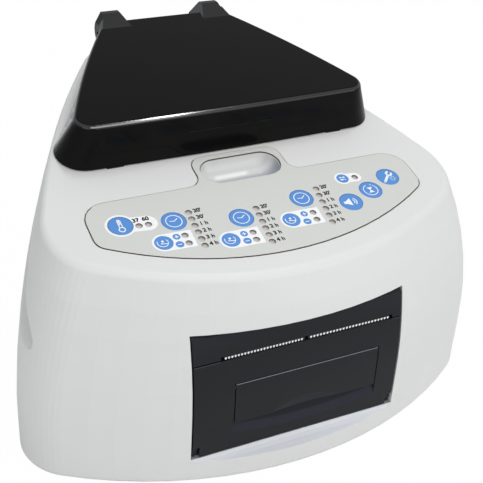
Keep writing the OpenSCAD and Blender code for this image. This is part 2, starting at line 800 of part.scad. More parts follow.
// Printer, fixed parts
module slot_for_shaft() {
    side_profile(mech_x0 - plate_t - 1, mech_x1 + plate_t + 1)
        union() {
            translate([platen_y, platen_z])
                circle(r = 2.3);
            polygon([[platen_y, platen_z - 2.3], [-95, platen_z - 2.3],
                     [-95, platen_z + 3.4], [platen_y, platen_z + 2.3]]);
        }
}
module printer_frame() {
    color([0.16, 0.16, 0.17])
    difference() {
        union() {
            for (x = [-frame_hx, frame_hx - frame_wall])
                bx([x, x + frame_wall], [-87, frame_y1], [sill_z + 2.7, 82]);
            for (x = [mech_x0 - plate_t, mech_x1])
                bx([x, x + plate_t], [-87, frame_y1], [sill_z + 2.7, 82]);
            bx([-frame_hx, frame_hx], [frame_y1 - 2, frame_y1], [14, 84]);
            bx([-frame_hx, frame_hx], [frame_y0, frame_y1], [82, 84]);
            bx([-frame_hx, frame_hx], [-84, frame_y1], [14, 16]);
            // Hinge ears that show at the door's lower corners, and their feet
            for (x = [[-frame_hx, -ear_x + 1.3], [ear_x - 1.3, frame_hx]])
                bx(x, [-87, -80], [sill_z + 2.7, 21]);
            for (s = [-1, 1])
                side_profile(s * ear_x - 1.3, s * ear_x + 1.3)
                    union() {
                        translate([door_y, door_z])
                            circle(r = 2.4);
                        polygon([[door_y - 2, sill_z + 2.7], [-84, sill_z + 2.7], [-84, 21],
                                 [door_y, 21], [door_y, door_z], [door_y - 2, door_z - 1.4]]);
                    }
            // Paper bucket
            intersection() {
                side_profile(mech_x0 - eps, mech_x1 + eps)
                    difference() {
                        translate([roll_y, roll_z])
                            circle(r = 20.6, $fn = 72);
                        translate([roll_y, roll_z])
                            circle(r = 19, $fn = 72);
                        polygon([[roll_y - 30, roll_z - 12], [roll_y, roll_z],
                                 [roll_y + 6, roll_z + 40], [roll_y - 30, roll_z + 40]]);
                    }
                bx([-frame_hx, frame_hx], [-84, frame_y1 - 1], [14, 70]);
            }
            // Wall that carries the head springs
            bx([mech_x0 - eps, mech_x1 + eps], [-74.4, -72.9], [57, 83]);
            for (x = [-46, 46])
                for (y = [-80, -46])
                    rod_z([x, y], 4, 13.95, 17);
        }
        slot_for_shaft();
        // Room for the band above the door
        bx([-frame_hx - 5, frame_hx + 5], [-100, frame_y0 + 0.1], [split_z - 0.4, 83]);
        for (x = [-46, 46])
            for (y = [-80, -46])
                rod_z([x, y], 1.2, 10, 18);
        rod_x([door_y, door_z], pin_r + 0.2 + fit, -60, 60);
        rod_x([roll_y, roll_z], 3.05, mech_x0 - 5, mech_x1 + 5);
        rod_x(idler_c, 1.5, mech_x0 - 5, mech_x0 + 1);
        rod_x(pinion_c, 5, mech_x0 - 5, mech_x0 + 1);
        // Side windows of the gear bay's outer wall stay closed; the rear is open for leads
        bx([gear_x0 - 2.4, gear_x1 - 0.6], [frame_y1 - 3, frame_y1 + 1], [20, 40]);
    }
}
module inner_screws() {
    color([0.7, 0.7, 0.72]) {
        for (x = [-38, 38])
            for (y = [12, 50]) {
                rod_z([x, y], 1.15, 34, 62.5);
                rod_z([x, y], 2.9, 62.05, 64.4);
            }
        for (x = [-46, 46])
            for (y = [-80, -46]) {
                rod_z([x, y], 1.15, foot_h + 1.05, 16.9);
                rod_z([x, y], 1.5, foot_h + 0.1, foot_h + 1.1);
            }
    }
}
module printer_band() {
    color([0.14, 0.15, 0.16])
    difference() {
        union() {
            face_slab(-door_hx - 0.1, door_hx + 0.1, split_z, band_top, 4.6);
            side_profile(-door_hx - 0.1, door_hx + 0.1)
                polygon([[face_at(band_top - 0.1) + 0.01, band_top - 0.1],
                         [face_at(band_top - 0.1) + 2.2, window_top - 0.4],
                         [-84.2, window_top - 0.4], [-84.2, split_z + 0.7],
                         [-87, split_z + 0.7]]);
        }
        // Seats of the tear bar's two halves
        for (r = bar_spans) {
            bx([r[0] - 0.15, r[1] + 0.15], [face_y - 1, bar_y + 2.25],
               [split_z - 1, split_z + bar_top + 0.1]);
            bx([r[0] - 0.15, r[1] + 0.15], [bar_y + 1.45, bar_y + 2.25],
               [split_z, split_z + 3.8]);
        }
        for (x = [bar_spans[0][0] - 1.5, paper_cx - 2.4, bar_spans[1][1] - 0.1])
            bx([x, x + 1.6], [face_y - 1, bar_y + 1.6], [split_z - 1, split_z + 1.5]);
    }
}
// Blade with teeth along the paper slot; it folds back under the band
module tear_bar() {
    color([0.85, 0.85, 0.86])
    for (r = bar_spans) {
        translate([0, bar_y + 0.65, 0])
            rotate([90, 0, 0])
                linear_extrude(0.6)
                    polygon(concat(
                        [[r[1], split_z + bar_top], [r[0], split_z + bar_top]],
                        [for (i = [0:bar_teeth - 1]) each [
                            [r[0] + i * (r[1] - r[0]) / bar_teeth, split_z + bar_root],
                            [r[0] + (i + 0.5) * (r[1] - r[0]) / bar_teeth, split_z + bar_tip]]],
                        [[r[1], split_z + bar_root]]
                    ));
        bx(r, [bar_y + 0.05, bar_y + 2.1], [split_z + bar_root, split_z + bar_top]);
        bx(r, [bar_y + 1.5, bar_y + 2.1], [split_z + bar_root, split_z + 3.7]);
    }
}
module print_head() {
    color([0.72, 0.7, 0.62])
    union() {
        bx([mech_x0 + 1.4, mech_x1 - 1.4], [platen_y + platen_r + 0.3, platen_y + platen_r + 1.7],
           [platen_z - 6, platen_z + 6.5]);
        bx([mech_x0 + 4, mech_x1 - 4], [platen_y + platen_r + 1.6, platen_y + platen_r + 3],
           [platen_z + 2.5, platen_z + 5.5]);
    }
}
module head_springs() {
    color([0.7, 0.7, 0.72])
    for (x = [paper_cx - 22, paper_cx + 22])
        translate([x, platen_y + platen_r + 1.71, platen_z - 0.9])
            rotate([-90, 0, 0])
                difference() {
                    cylinder(h = 2.85, r = 2);
                    translate([0, 0, 0.4])
                        cylinder(h = 4, r = 1.5);
                }
}
module step_motor() {
    color([0.6, 0.6, 0.62])
    union() {
        rod_x(pinion_c, 7.2, mech_x0 + 0.05, mech_x0 + 16);
        rod_x(pinion_c, 3, mech_x0 - 2.4, mech_x0 + 1);
        rod_x(pinion_c, 1, gear_x0 - 0.6, mech_x0);
    }
}
module idler_pin() {
    color([0.7, 0.7, 0.72])
    union() {
        rod_x(idler_c, 1.45, gear_x0 - 0.5, mech_x0);
        rod_x(idler_c, 2.2, gear_x0 - 1.3, gear_x0 - 0.5);
    }
}
module roll_spindle() {
    color([0.2, 0.2, 0.21])
    union() {
        rod_x([roll_y, roll_z], 5.9, mech_x0 + 0.3, mech_x1 - 0.3);
        rod_x([roll_y, roll_z], 3, mech_x0 - plate_t, mech_x1 + plate_t);
    }
}
module head_ribbon() {
    color([0.85, 0.84, 0.78])
    side_profile(10, 34)
        polygon([[-74.45, 64], [-74.45, 60], [-75.9, 60], [-75.9, 60.4], [-74.85, 60.4],
                 [-74.85, 64]]);
}

// Printer, moving parts
module lever_notch() {
    face_slab(lever_x0 - 0.5, lever_x1 + 0.5, lever_low - 0.4, lever_top + 0.45, 3.7, -2);
    // Finger ledge under the flap, lowest in the middle
    intersection() {
        bx([lever_x0 - 0.5, lever_x1 + 0.5], [face_y - 2, face_y + 3.7], [17, lever_low]);
        translate([paper_cx + 0.3, face_y - ledge_r / cos(ledge_a), ledge_z])
            rotate([-ledge_a, 0, 0])
                cylinder(h = 600, r = ledge_r, center = true, $fn = 360);
    }
}
module printer_door() {
    color([0.17, 0.17, 0.18])
    difference() {
        union() {
            face_slab(-door_hx, door_hx, door_low, split_z - 0.6, 4.6);
            for (s = [-1, 1])
                rod_x([door_y, door_z], 2.9, s * knuckle_x - 4, s * knuckle_x + 4);
            for (s = [-1, 1])
                bx([s * knuckle_x - 4, s * knuckle_x + 4], [door_y, door_y + 2.9], [door_z, 24]);
        }
        lever_notch();
        // Corner notches for the hinge ears
        for (s = [-1, 1])
            bx([s * (ear_x + 0.1) - 2, s * (ear_x + 0.1) + 2], [-100, -80],
               [door_low - 1, 21.4]);
        rod_x([door_y, door_z], pin_r + 0.2, -60, 60);
        side_profile(lever_x0 - 2.2, lever_x1 + 2.2)
            translate([lever_y, lever_z])
                circle(r = pin_r, $fn = 32);
        // Room for the roller and its gear
        rod_x([platen_y, platen_z], platen_r + 0.4, mech_x0 + 0.9, mech_x1 - 0.9);
        rod_x([platen_y, platen_z], gear_m * (teeth_platen / 2 + 1) + 0.5,
              gear_x0 - 0.5, gear_x1 + 0.4);
    }
}
module door_pins() {
    color([0.75, 0.75, 0.77])
    for (s = [-1, 1])
        rod_x([door_y, door_z], pin_r + 0.19, s * (ear_x - 3.4) - 4.5, s * (ear_x - 3.4) + 4.5);
}
module platen_bracket() {
    color([0.66, 0.66, 0.68])
    difference() {
        union() {
            for (x = [mech_x0 + 0.3, mech_x1 - 1.3])
                side_profile(x, x + 1)
                    union() {
                        translate([platen_y, platen_z])
                            circle(r = 3.1);
                        polygon([[platen_y - 2.4, platen_z - 3.1], [platen_y + 1.4, platen_z - 3.1],
                                 [platen_y + 3, platen_z], [platen_y - 3, platen_z + 1],
                                 [-88, 56], [-88.6, 50.6], [-88.6, 48.2]]);
                    }
            bx([mech_x0 + 0.3, mech_x1 - 0.3], [-88.7, -87.8], [44.5, 51]);
        }
        rod_x([platen_y, platen_z], 1.5 + fit, -60, 60);
    }
}
module platen_shaft() {
    color([0.75, 0.75, 0.77])
    rod_x([platen_y, platen_z], 1.5, shaft_x0, mech_x1 + plate_t - 0.2);
}
module platen_rubber() {
    color([0.1, 0.1, 0.1])
    difference() {
        rod_x([platen_y, platen_z], platen_r, paper_x0, paper_x1);
        rod_x([platen_y, platen_z], 1.51, -60, 60);
    }
}
module gear(c, n, ph, bore) {
    rp = gear_m * n / 2;
    side_profile(gear_x0, gear_x1)
        translate(c)
            rotate([0, 0, ph])
                difference() {
                    union() {
                        circle(r = rp - 1.1 * gear_m, $fn = 4 * n);
                        for (k = [0:n - 1])
                            rotate([0, 0, k * 360 / n])
                                polygon([
                                    [rp - 1.3 * gear_m, -0.88 * gear_m],
                                    [rp, -0.64 * gear_m],
                                    [rp + 0.85 * gear_m, -0.3 * gear_m],
                                    [rp + 0.85 * gear_m, 0.3 * gear_m],
                                    [rp, 0.64 * gear_m],
                                    [rp - 1.3 * gear_m, 0.88 * gear_m]
                                ]);
                    }
                    circle(r = bore);
                }
}
module platen_gear() {
    color([0.9, 0.88, 0.8])
    gear([platen_y, platen_z], teeth_platen, platen_ph, 1.51);
}
module idler_gear() {
    color([0.9, 0.88, 0.8])
    gear(idler_c, teeth_idler, idler_ph, 1.5);
}
module motor_pinion() {
    color([0.8, 0.65, 0.3])
    gear(pinion_c, teeth_pinion, pinion_ph, 1 + fit);
}
module latch_lever() {
    color([0.18, 0.18, 0.19])
    difference() {
        union() {
            difference() {
                face_slab(lever_x0, lever_x1, lever_low, lever_top, lever_t);
                // Finger hollow, deepest at the lower edge
                translate([paper_cx + 0.3, face_y + hollow_in - hollow_r / cos(hollow_a), lever_low])
                    rotate([hollow_a, 0, 0])
                        cylinder(h = 200, r = hollow_r, center = true, $fn = 240);
            }
            rod_x([lever_y, lever_z], 1.6, lever_x0, lever_x1);
        }
        rod_x([lever_y, lever_z], pin_r + fit, lever_x0 - 1, lever_x1 + 1);
        rod_x([lever_y, lever_z], 1.42, 0.5, 9.5);
    }
}
module lever_pin() {
    color([0.75, 0.75, 0.77])
    rod_x([lever_y, lever_z], pin_r - 0.01, lever_x0 - 2, lever_x1 + 2);
}
module lever_spring() {
    color([0.7, 0.7, 0.72])
    difference() {
        rod_x([lever_y, lever_z], 1.35, 1, 9);
        rod_x([lever_y, lever_z], pin_r + fit, 0, 10);
    }
}
module paper_roll() {
    color([0.96, 0.96, 0.95])
    difference() {
        rod_x([roll_y, roll_z], paper_r, paper_x0, paper_x1, $fn = 72);
        rod_x([roll_y, roll_z], 7.51, -60, 60);
    }
}
module paper_core() {
    color([0.7, 0.6, 0.45])
    difference() {
        rod_x([roll_y, roll_z], 7.5, paper_x0, paper_x1);
        rod_x([roll_y, roll_z], 5.97, -60, 60);
    }
}

// Lid
module hump_side() {
    side_profile(-40, 40)
        union() {
            translate([hinge_y, hinge_z])
                circle(r = hump_r);
            polygon([
                [hinge_y + 5.1, hinge_z + 3], [hinge_y + 2, hinge_z + 9.8],
                [hinge_y - 2, hinge_z + 10], [66, lid_z(66) - 0.4], [66, lid_z(66) - 1.6],
                [72.4, lid_z(74) - 4], [72.4, 143.5], [hinge_y - 4, hinge_z - 4.4]
            ]);
        }
}
// Both lugs: slim round the pin, wider where they grow out of the lid
module humps() {
    intersection() {
        hump_side();
        for (s = [-1, 1])
            scale([s, 1, 1])
                for (w = [[73.4, 100, 33.4], [60, 73.5, 36]])
                    translate([0, w[1], 0])
                        rotate([90, 0, 0])
                            linear_extrude(w[1] - w[0])
                                polygon([[18.2, 130], [18.2, 152.6], [22.7, 159.2],
                                         [31.3, 159.2], [w[2], 152.6], [w[2] + 0.4, 130]]);
    }
}
module lid_outer() {
    skin(concat(
        [for (s = [0:3]) lid_ring(0, s / 3, lid_gap, lid_soft)],
        [for (a = [18:18:90])
            lid_ring(lid_soft * (1 - cos(a)), 1, lid_gap, lid_soft * (1 - sin(a)))]
    ));
}
module lid_inner(g = 0) {
    skin([for (s = [-0.1, 0.5, 1])
        lid_ring(lid_wall + g, s, lid_gap, lid_wall + g / 3)]);
}
module lid_shell() {
    color([0.12, 0.12, 0.125])
    difference() {
        union() {
            difference() {
                lid_outer();
                lid_inner();
            }
            humps();
        }
        // Shallow groove across the front
        bx([-21.7, 20.5], [-13, -10.9], [132.2, 133.4]);
        rod_x([hinge_y, hinge_z], hinge_pin_r + 0.01, -30.5, 30.5);
    }
}
module liner_ring(z0, z1) {
    difference() {
        bx([-ring_x, ring_x], [ring_y0, ring_y1], [z0, z1]);
        bx([-ring_x + ring_t, ring_x - ring_t], [ring_y0 + ring_t, ring_y1 - ring_t],
           [z0 - 1, z1 + 1]);
    }
}
module lid_liner() {
    color([0.1, 0.1, 0.105])
    difference() {
        intersection() {
            lid_inner(0.15);
            bx([-ring_x, ring_x], [ring_y0, ring_y1], [100, 170]);
        }
        on_deck()
            translate([-100, -60, -40])
                cube([200, 200, 42.6]);
        // Open inside, up to the roof plate
        intersection() {
            bx([-ring_x + ring_t, ring_x - ring_t], [ring_y0 + ring_t, ring_y1 - ring_t],
               [100, 170]);
            translate([0, 0, -lid_wall - 2.2])
                skin([lid_ring(0, -0.1, lid_gap, 0), lid_ring(0, 1, lid_gap, 0)]);
        }
    }
}
module lid_seal() {
    color([0.08, 0.08, 0.08])
    intersection() {
        liner_ring(110, 150);
        lid_inner(0.15);
        on_deck()
            translate([-100, -60, 0.35])
                cube([200, 200, 2.2]);
    }
}
module lid_bumpers() {
    color([0.08, 0.08, 0.08])
    for (s = [-1, 1])
        on_deck() {
            translate([s * 56 - 4, -11 / cos(deck_a) + 0.5, 0.03])
                cube([8, 1.4, lid_gap - 0.08]);
            translate([s * 24 - 3, 69.2 / cos(deck_a), 0.03])
                cube([6, 1.2, lid_gap - 0.08]);
        }
}
module hinge_pin() {
    color([0.75, 0.75, 0.77])
    rod_x([hinge_y, hinge_z], hinge_pin_r, -30.4, 30.4);
}

upper_housing();
base_plate();
rubber_feet();
base_screws();
key_overlay();
lamp_lenses();
keypad_board();
key_switches();
well_frame();
block_front();
block_middle();
block_rear();
block_insulation();
heater_film();
reader_board();
optics_set();
block_carrier();
temp_sensor();
thermal_cutout();
main_board();
board_chips();
buzzer();
dc_inlet();
data_socket();
hinge_bracket();
printer_frame();
printer_band();
tear_bar();
print_head();
head_springs();
step_motor();
idler_pin();
roll_spindle();
head_ribbon();
inner_screws();
lid_shell();
lid_liner();
lid_seal();
lid_bumpers();
hinge_pin();
printer_door();
door_pins();
platen_bracket();
latch_lever();
lever_pin();
lever_spring();
platen_shaft();
platen_rubber();
platen_gear();
idler_gear();
motor_pinion();
paper_roll();
paper_core();
key_cap(0);  // key_heat
key_cap(1);  // key_timer_a
key_cap(2);  // key_timer_b
key_cap(3);  // key_timer_c
key_cap(4);  // key_sound
key_cap(5);  // key_cycle
key_cap(6);  // key_setup
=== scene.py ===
# %% [markdown]
# # A bench-top reader-incubator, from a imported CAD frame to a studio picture
#
# The form, the joints and the hidden works come from the CAD frame. This script adds
# what CAD can't say: how each surface takes the light, what is printed on the key
# panel, and the lamps and the camera of a small studio.
#
# All positions are in metres in the part's own frame: X to the right, Y to the back,
# Z up, the origin on the bench below the middle of the footprint. Numbers in
# millimetres are multiplied by `MM`.

import bpy
import json
import math
from mathutils import Matrix, Vector


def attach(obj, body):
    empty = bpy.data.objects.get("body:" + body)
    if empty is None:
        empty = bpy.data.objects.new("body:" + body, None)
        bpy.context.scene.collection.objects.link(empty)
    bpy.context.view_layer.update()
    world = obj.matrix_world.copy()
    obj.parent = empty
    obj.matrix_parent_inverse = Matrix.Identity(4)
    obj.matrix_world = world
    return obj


MM = 0.001
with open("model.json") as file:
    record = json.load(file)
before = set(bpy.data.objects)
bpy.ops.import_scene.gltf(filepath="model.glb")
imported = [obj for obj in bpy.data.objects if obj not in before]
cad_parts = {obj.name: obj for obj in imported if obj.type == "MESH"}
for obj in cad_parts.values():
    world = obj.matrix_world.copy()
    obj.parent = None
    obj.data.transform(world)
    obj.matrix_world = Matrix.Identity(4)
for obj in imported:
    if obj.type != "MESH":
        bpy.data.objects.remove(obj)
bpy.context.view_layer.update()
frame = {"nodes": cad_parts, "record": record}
NODES = frame["nodes"]
print("CAD nodes:", len(NODES))

# %% [markdown]
# ## The sloped panel has its own coordinates
#
# On the real device the keys and lamps sit on a deck that slopes up to the back.
# Placing them in world coordinates would mean a sine and a cosine for each one. It is
# easier to lay everything out flat, `x` to the right and `t` up the slope, both in
# millimetres, and to let one function, `on_panel`, lift a point onto the deck, `n`
# above it.

# %% Panel coordinates
DECK_Z0 = 122.19
DECK_RISE = 0.2406
DECK_A = math.atan(DECK_RISE)
DECK_UP = Vector((0, -math.sin(DECK_A), math.cos(DECK_A)))


def on_panel(x, t, n=0.0):
    y = t * math.cos(DECK_A) - n * math.sin(DECK_A)
    z = DECK_Z0 + t * math.sin(DECK_A) + n * math.cos(DECK_A)
    return Vector((x * MM, y * MM, z * MM))


print("deck slope, degrees:", round(math.degrees(DECK_A), 1))

# %% [markdown]
# ## Where the keys and lamps are
#
# There are seven round keys. Each timer has a row of six lamps, one for each time, and a
# pair of lamps beside its vial disc. Two more stand beside the heat key, one for each
# temperature, and the last one beside the disc above the sound and cycle keys. Every
# lamp could be listed, but a row is nearly straight, so a start and a step say the
# same in one line.

# %% Keys and lamps
KEYS = {
    "key_heat": (-66.3, -46.7),
    "key_timer_a": (-43.3, -49.9),
    "key_timer_b": (-13.8, -55.5),
    "key_timer_c": (18.3, -50.8),
    "key_sound": (39.9, -58.9),
    "key_cycle": (53.1, -53.9),
    "key_setup": (65.9, -47.7),
}
# how far the keys and the film stand above the deck
KEY_TOP = 0.14
FILM_TOP = 0.1
# x and t of the first lamp, then the step to the next one
LAMP_ROWS = [
    (-35.1, -46.4, -0.16, -4.14),
    (-4.9, -51.6, -0.36, -4.2),
    (27.9, -46.7, -0.56, -4.36),
]
LAMPS_IN_ROW = 6
SINGLE_LAMPS = [
    (-41.9, -59.2), (-41.9, -63.9), (-12.6, -65.2), (-12.9, -69.6),
    (19.2, -60.7), (18.9, -65.2), (-58.7, -48.7), (-54.5, -48.9), (49.9, -44.0),
]
LAMPS = [(x + k * dx, t + k * dt) for x, t, dx, dt in LAMP_ROWS for k in range(LAMPS_IN_ROW)]
LAMPS += SINGLE_LAMPS
print("keys:", len(KEYS), "lamps:", len(LAMPS))

# %% [markdown]
# ## Small helpers for shader trees
#
# A shader tree is a set of nodes and links. Written out, each sum takes four lines, so
# three helpers do the wiring: one opens a node group with named sockets, one adds a
# number sum and one adds a vector sum. An input may be a plain value or a link.

# %% Helpers that wire nodes


def new_group(name, inputs, outputs):
    g = bpy.data.node_groups.new(name, "ShaderNodeTree")
    for label, kind, default in inputs:
        s = g.interface.new_socket(name=label, in_out="INPUT", socket_type=kind)
        if default is not None:
            s.default_value = default
    for label, kind in outputs:
        g.interface.new_socket(name=label, in_out="OUTPUT", socket_type=kind)
    return g, g.nodes.new("NodeGroupInput"), g.nodes.new("NodeGroupOutput")


def math_node(tree, op, a, b=None, c=None, clamp=False):
    n = tree.nodes.new("ShaderNodeMath")
    n.operation = op
    n.use_clamp = clamp
    for i, v in enumerate((a, b, c)):
        if v is None:
            continue
        if isinstance(v, (int, float)):
            n.inputs[i].default_value = v
        else:
            tree.links.new(v, n.inputs[i])
    return n.outputs[0]


def vec_node(tree, op, a, b=None):
    n = tree.nodes.new("ShaderNodeVectorMath")
    n.operation = op
    for i, v in enumerate((a, b)):
        if v is None:
            continue
        if isinstance(v, (tuple, Vector)):
            n.inputs[i].default_value = v
        else:
            tree.links.new(v, n.inputs[i])
    return n.outputs["Value"] if op in ("DOT_PRODUCT", "LENGTH") else n.outputs[0]


# %% [markdown]
# ## Grain and rounded edges, as one shared group
#
# A moulded face is never a perfect mirror: it has a fine, even texture, and its edges are
# a little round. Modelling either would cost millions of faces. `fine_grain` bends the
# shading normal instead, with a tiny noise on top of the Bevel node, which rounds the
# shading of every sharp edge. Several materials use it, each with its own values.

# %% The fine_grain group
BEVEL_SAMPLES = 6
GRAIN_DETAIL = 2.0
GRAIN_STRENGTH = 0.35


def build_fine_grain():
    g, gi, go = new_group(
        "fine_grain",
        [("Scale", "NodeSocketFloat", 2500.0), ("Depth", "NodeSocketFloat", 0.00001),
         ("Edge", "NodeSocketFloat", 0.0002)],
        [("Normal", "NodeSocketVector")],
    )
    co = g.nodes.new("ShaderNodeTexCoord")
    noise = g.nodes.new("ShaderNodeTexNoise")
    noise.inputs["Detail"].default_value = GRAIN_DETAIL
    bump = g.nodes.new("ShaderNodeBump")
    bump.inputs["Strength"].default_value = GRAIN_STRENGTH
    edge = g.nodes.new("ShaderNodeBevel")
    edge.samples = BEVEL_SAMPLES
    g.links.new(gi.outputs["Edge"], edge.inputs["Radius"])
    g.links.new(edge.outputs["Normal"], bump.inputs["Normal"])
    g.links.new(co.outputs["Object"], noise.inputs["Vector"])
    g.links.new(gi.outputs["Scale"], noise.inputs["Scale"])
    g.links.new(gi.outputs["Depth"], bump.inputs["Distance"])
    g.links.new(noise.outputs["Fac"], bump.inputs["Height"])
    g.links.new(bump.outputs["Normal"], go.inputs["Normal"])
    return g


FINE_GRAIN = build_fine_grain()
print("group", FINE_GRAIN.name, "with", len(FINE_GRAIN.nodes), "nodes")

# %% [markdown]
# ## A slow unevenness for large plain walls
#
# Large plastic walls look flat and false when their colour is exactly even. `soft_mottle`
# is a wide, weak noise that multiplies the colour by a value between `Low` and `High`.

# %% The soft_mottle group
MOTTLE_DETAIL = 3.0
NOISE_LOW, NOISE_HIGH = 0.3, 0.7


def build_soft_mottle():
    g, gi, go = new_group(
        "soft_mottle",
        [("Scale", "NodeSocketFloat", 18.0), ("Low", "NodeSocketFloat", 0.97),
         ("High", "NodeSocketFloat", 1.0)],
        [("Value", "NodeSocketFloat")],
    )
    co = g.nodes.new("ShaderNodeTexCoord")
    noise = g.nodes.new("ShaderNodeTexNoise")
    noise.inputs["Detail"].default_value = MOTTLE_DETAIL
    ramp = g.nodes.new("ShaderNodeMapRange")
    ramp.inputs["From Min"].default_value = NOISE_LOW
    ramp.inputs["From Max"].default_value = NOISE_HIGH
    g.links.new(co.outputs["Object"], noise.inputs["Vector"])
    g.links.new(gi.outputs["Scale"], noise.inputs["Scale"])
    g.links.new(noise.outputs["Fac"], ramp.inputs["Value"])
    g.links.new(gi.outputs["Low"], ramp.inputs["To Min"])
    g.links.new(gi.outputs["High"], ramp.inputs["To Max"])
    g.links.new(ramp.outputs["Result"], go.inputs["Value"])
    return g


SOFT_MOTTLE = build_soft_mottle()
print("group", SOFT_MOTTLE.name, "with", len(SOFT_MOTTLE.nodes), "nodes")

# %% [markdown]
# ## Masks
#
# A mask is a number from 0 to 1 that says where an effect shows. Four small groups make
# all the masks of this script:
#
# * `strip_mask` is 1 inside a strip with round ends. The printed pills and discs need it.
# * `span_mask` is 1 while a value lies between two limits, with a soft edge.
# * `part_place` gives the place on the part in millimetres, and how far the face is
#   turned along an axis, from -1 to 1. It uses object coordinates, so a mark stays on
#   its piece when a joint moves.
# * `rim_mask` is 1 on a rounded upper rim, which is neither flat on top nor upright.

# %% The strip_mask group
EDGE_SHARPNESS = 12.0


def build_strip_mask():
    g, gi, go = new_group(
        "strip_mask",
        [("Point", "NodeSocketVector", None), ("From", "NodeSocketVector", None),
         ("To", "NodeSocketVector", None), ("Radius", "NodeSocketFloat", 1.0),
         ("Square end", "NodeSocketFloat", 0.0)],
        [("Mask", "NodeSocketFloat")],
    )
    pa = vec_node(g, "SUBTRACT", gi.outputs["Point"], gi.outputs["From"])
    ba = vec_node(g, "SUBTRACT", gi.outputs["To"], gi.outputs["From"])
    top = vec_node(g, "DOT_PRODUCT", pa, ba)
    low = math_node(g, "MAXIMUM", vec_node(g, "DOT_PRODUCT", ba, ba), 0.0001)
    raw = math_node(g, "DIVIDE", top, low)
    along = math_node(g, "ADD", raw, 0.0, clamp=True)
    sc = g.nodes.new("ShaderNodeVectorMath")
    sc.operation = "SCALE"
    g.links.new(ba, sc.inputs[0])
    g.links.new(along, sc.inputs["Scale"])
    away = vec_node(g, "LENGTH", vec_node(g, "SUBTRACT", pa, sc.outputs[0]))
    inside = math_node(g, "SUBTRACT", gi.outputs["Radius"], away)
    soft = math_node(g, "MULTIPLY_ADD", inside, EDGE_SHARPNESS, 0.5, clamp=True)
    past = math_node(g, "GREATER_THAN", raw, 1.0)
    cut = math_node(g, "MULTIPLY", past, gi.outputs["Square end"])
    keep = math_node(g, "SUBTRACT", 1.0, cut)
    g.links.new(math_node(g, "MULTIPLY", soft, keep), go.inputs["Mask"])
    return g


STRIP_MASK = build_strip_mask()
print("group", STRIP_MASK.name, "with", len(STRIP_MASK.nodes), "nodes")

# %% The span_mask and part_place groups
SKYWARD = (0.0, 0.0, 1.0)
BACKWARD = (0.0, 1.0, 0.0)


def build_span_mask():
    g, gi, go = new_group(
        "span_mask",
        [("Value", "NodeSocketFloat", 0.0), ("Low", "NodeSocketFloat", 0.0),
         ("High", "NodeSocketFloat", 1.0), ("Soft", "NodeSocketFloat", 0.1)],
        [("Mask", "NodeSocketFloat")],
    )
    value, low, high, soft = gi.outputs[:4]
    rise = math_node(g, "DIVIDE", math_node(g, "SUBTRACT", value, low), soft, clamp=True)
    fall = math_node(g, "DIVIDE", math_node(g, "SUBTRACT", high, value), soft, clamp=True)
    g.links.new(math_node(g, "MULTIPLY", rise, fall), go.inputs["Mask"])
    return g


def build_part_place():
    g, gi, go = new_group(
        "part_place",
        [("Axis", "NodeSocketVector", SKYWARD)],
        [(label, "NodeSocketFloat") for label in ("X", "Y", "Z", "Turn")],
    )
    co = g.nodes.new("ShaderNodeTexCoord")
    part = g.nodes.new("ShaderNodeSeparateXYZ")
    scaled = vec_node(g, "MULTIPLY", co.outputs["Object"], (1 / MM, 1 / MM, 1 / MM))
    g.links.new(scaled, part.inputs[0])
    for label in ("X", "Y", "Z"):
        g.links.new(part.outputs[label], go.inputs[label])
    turn = vec_node(g, "DOT_PRODUCT", co.outputs["Normal"], gi.outputs["Axis"])
    g.links.new(turn, go.inputs["Turn"])
    return g


SPAN_MASK = build_span_mask()
PART_PLACE = build_part_place()


def part_place(tree, axis=SKYWARD):
    n = tree.nodes.new("ShaderNodeGroup")
    n.node_tree = PART_PLACE
    n.inputs["Axis"].default_value = axis
    return n.outputs


def span(tree, value, limits):
    n = tree.nodes.new("ShaderNodeGroup")
    n.node_tree = SPAN_MASK
    tree.links.new(value, n.inputs["Value"])
    for label, v in zip(("Low", "High", "Soft"), limits):
        n.inputs[label].default_value = v
    return n.outputs["Mask"]


def overlap(tree, *masks):
    out = masks[0]
    for m in masks[1:]:
        out = math_node(tree, "MULTIPLY", out, m)
    return out


print("groups", SPAN_MASK.name, "and", PART_PLACE.name)

# %% The rim_mask group
RIM_RADIUS = 0.3
SHARP_BELOW = 8.0
SHARP_ABOVE = 12.0


def build_rim_mask():
    g, gi, go = new_group(
        "rim_mask",
        [("Low", "NodeSocketFloat", 0.4), ("High", "NodeSocketFloat", 0.95)],
        [("Mask", "NodeSocketFloat")],
    )
    edge = g.nodes.new("ShaderNodeBevel")
    edge.samples = BEVEL_SAMPLES
    edge.inputs["Radius"].default_value = RIM_RADIUS * MM
    turn = g.nodes.new("ShaderNodeVectorTransform")
    turn.vector_type = "NORMAL"
    turn.convert_from = "WORLD"
    turn.convert_to = "OBJECT"
    g.links.new(edge.outputs["Normal"], turn.inputs["Vector"])
    up = vec_node(g, "DOT_PRODUCT", turn.outputs["Vector"], SKYWARD)
    rise = math_node(g, "SUBTRACT", up, gi.outputs["Low"])
    fall = math_node(g, "SUBTRACT", gi.outputs["High"], up)
    rise = math_node(g, "MULTIPLY", rise, SHARP_BELOW, clamp=True)
    fall = math_node(g, "MULTIPLY", fall, SHARP_ABOVE, clamp=True)
    g.links.new(math_node(g, "MULTIPLY", rise, fall), go.inputs["Mask"])
    return g


RIM_MASK = build_rim_mask()
print("group", RIM_MASK.name, "with", len(RIM_MASK.nodes), "nodes")

# %% [markdown]
# ## One function for plain materials
#
# `srgb` turns the familiar 0 to 255 colour numbers into the linear values that a shader
# works in. `surface` builds one material: a colour, a roughness, and if wanted the
# grain and the mottle. Most finishes of the device differ only in these few numbers.

# %% The surface function
EDGE_ROUND = 0.2


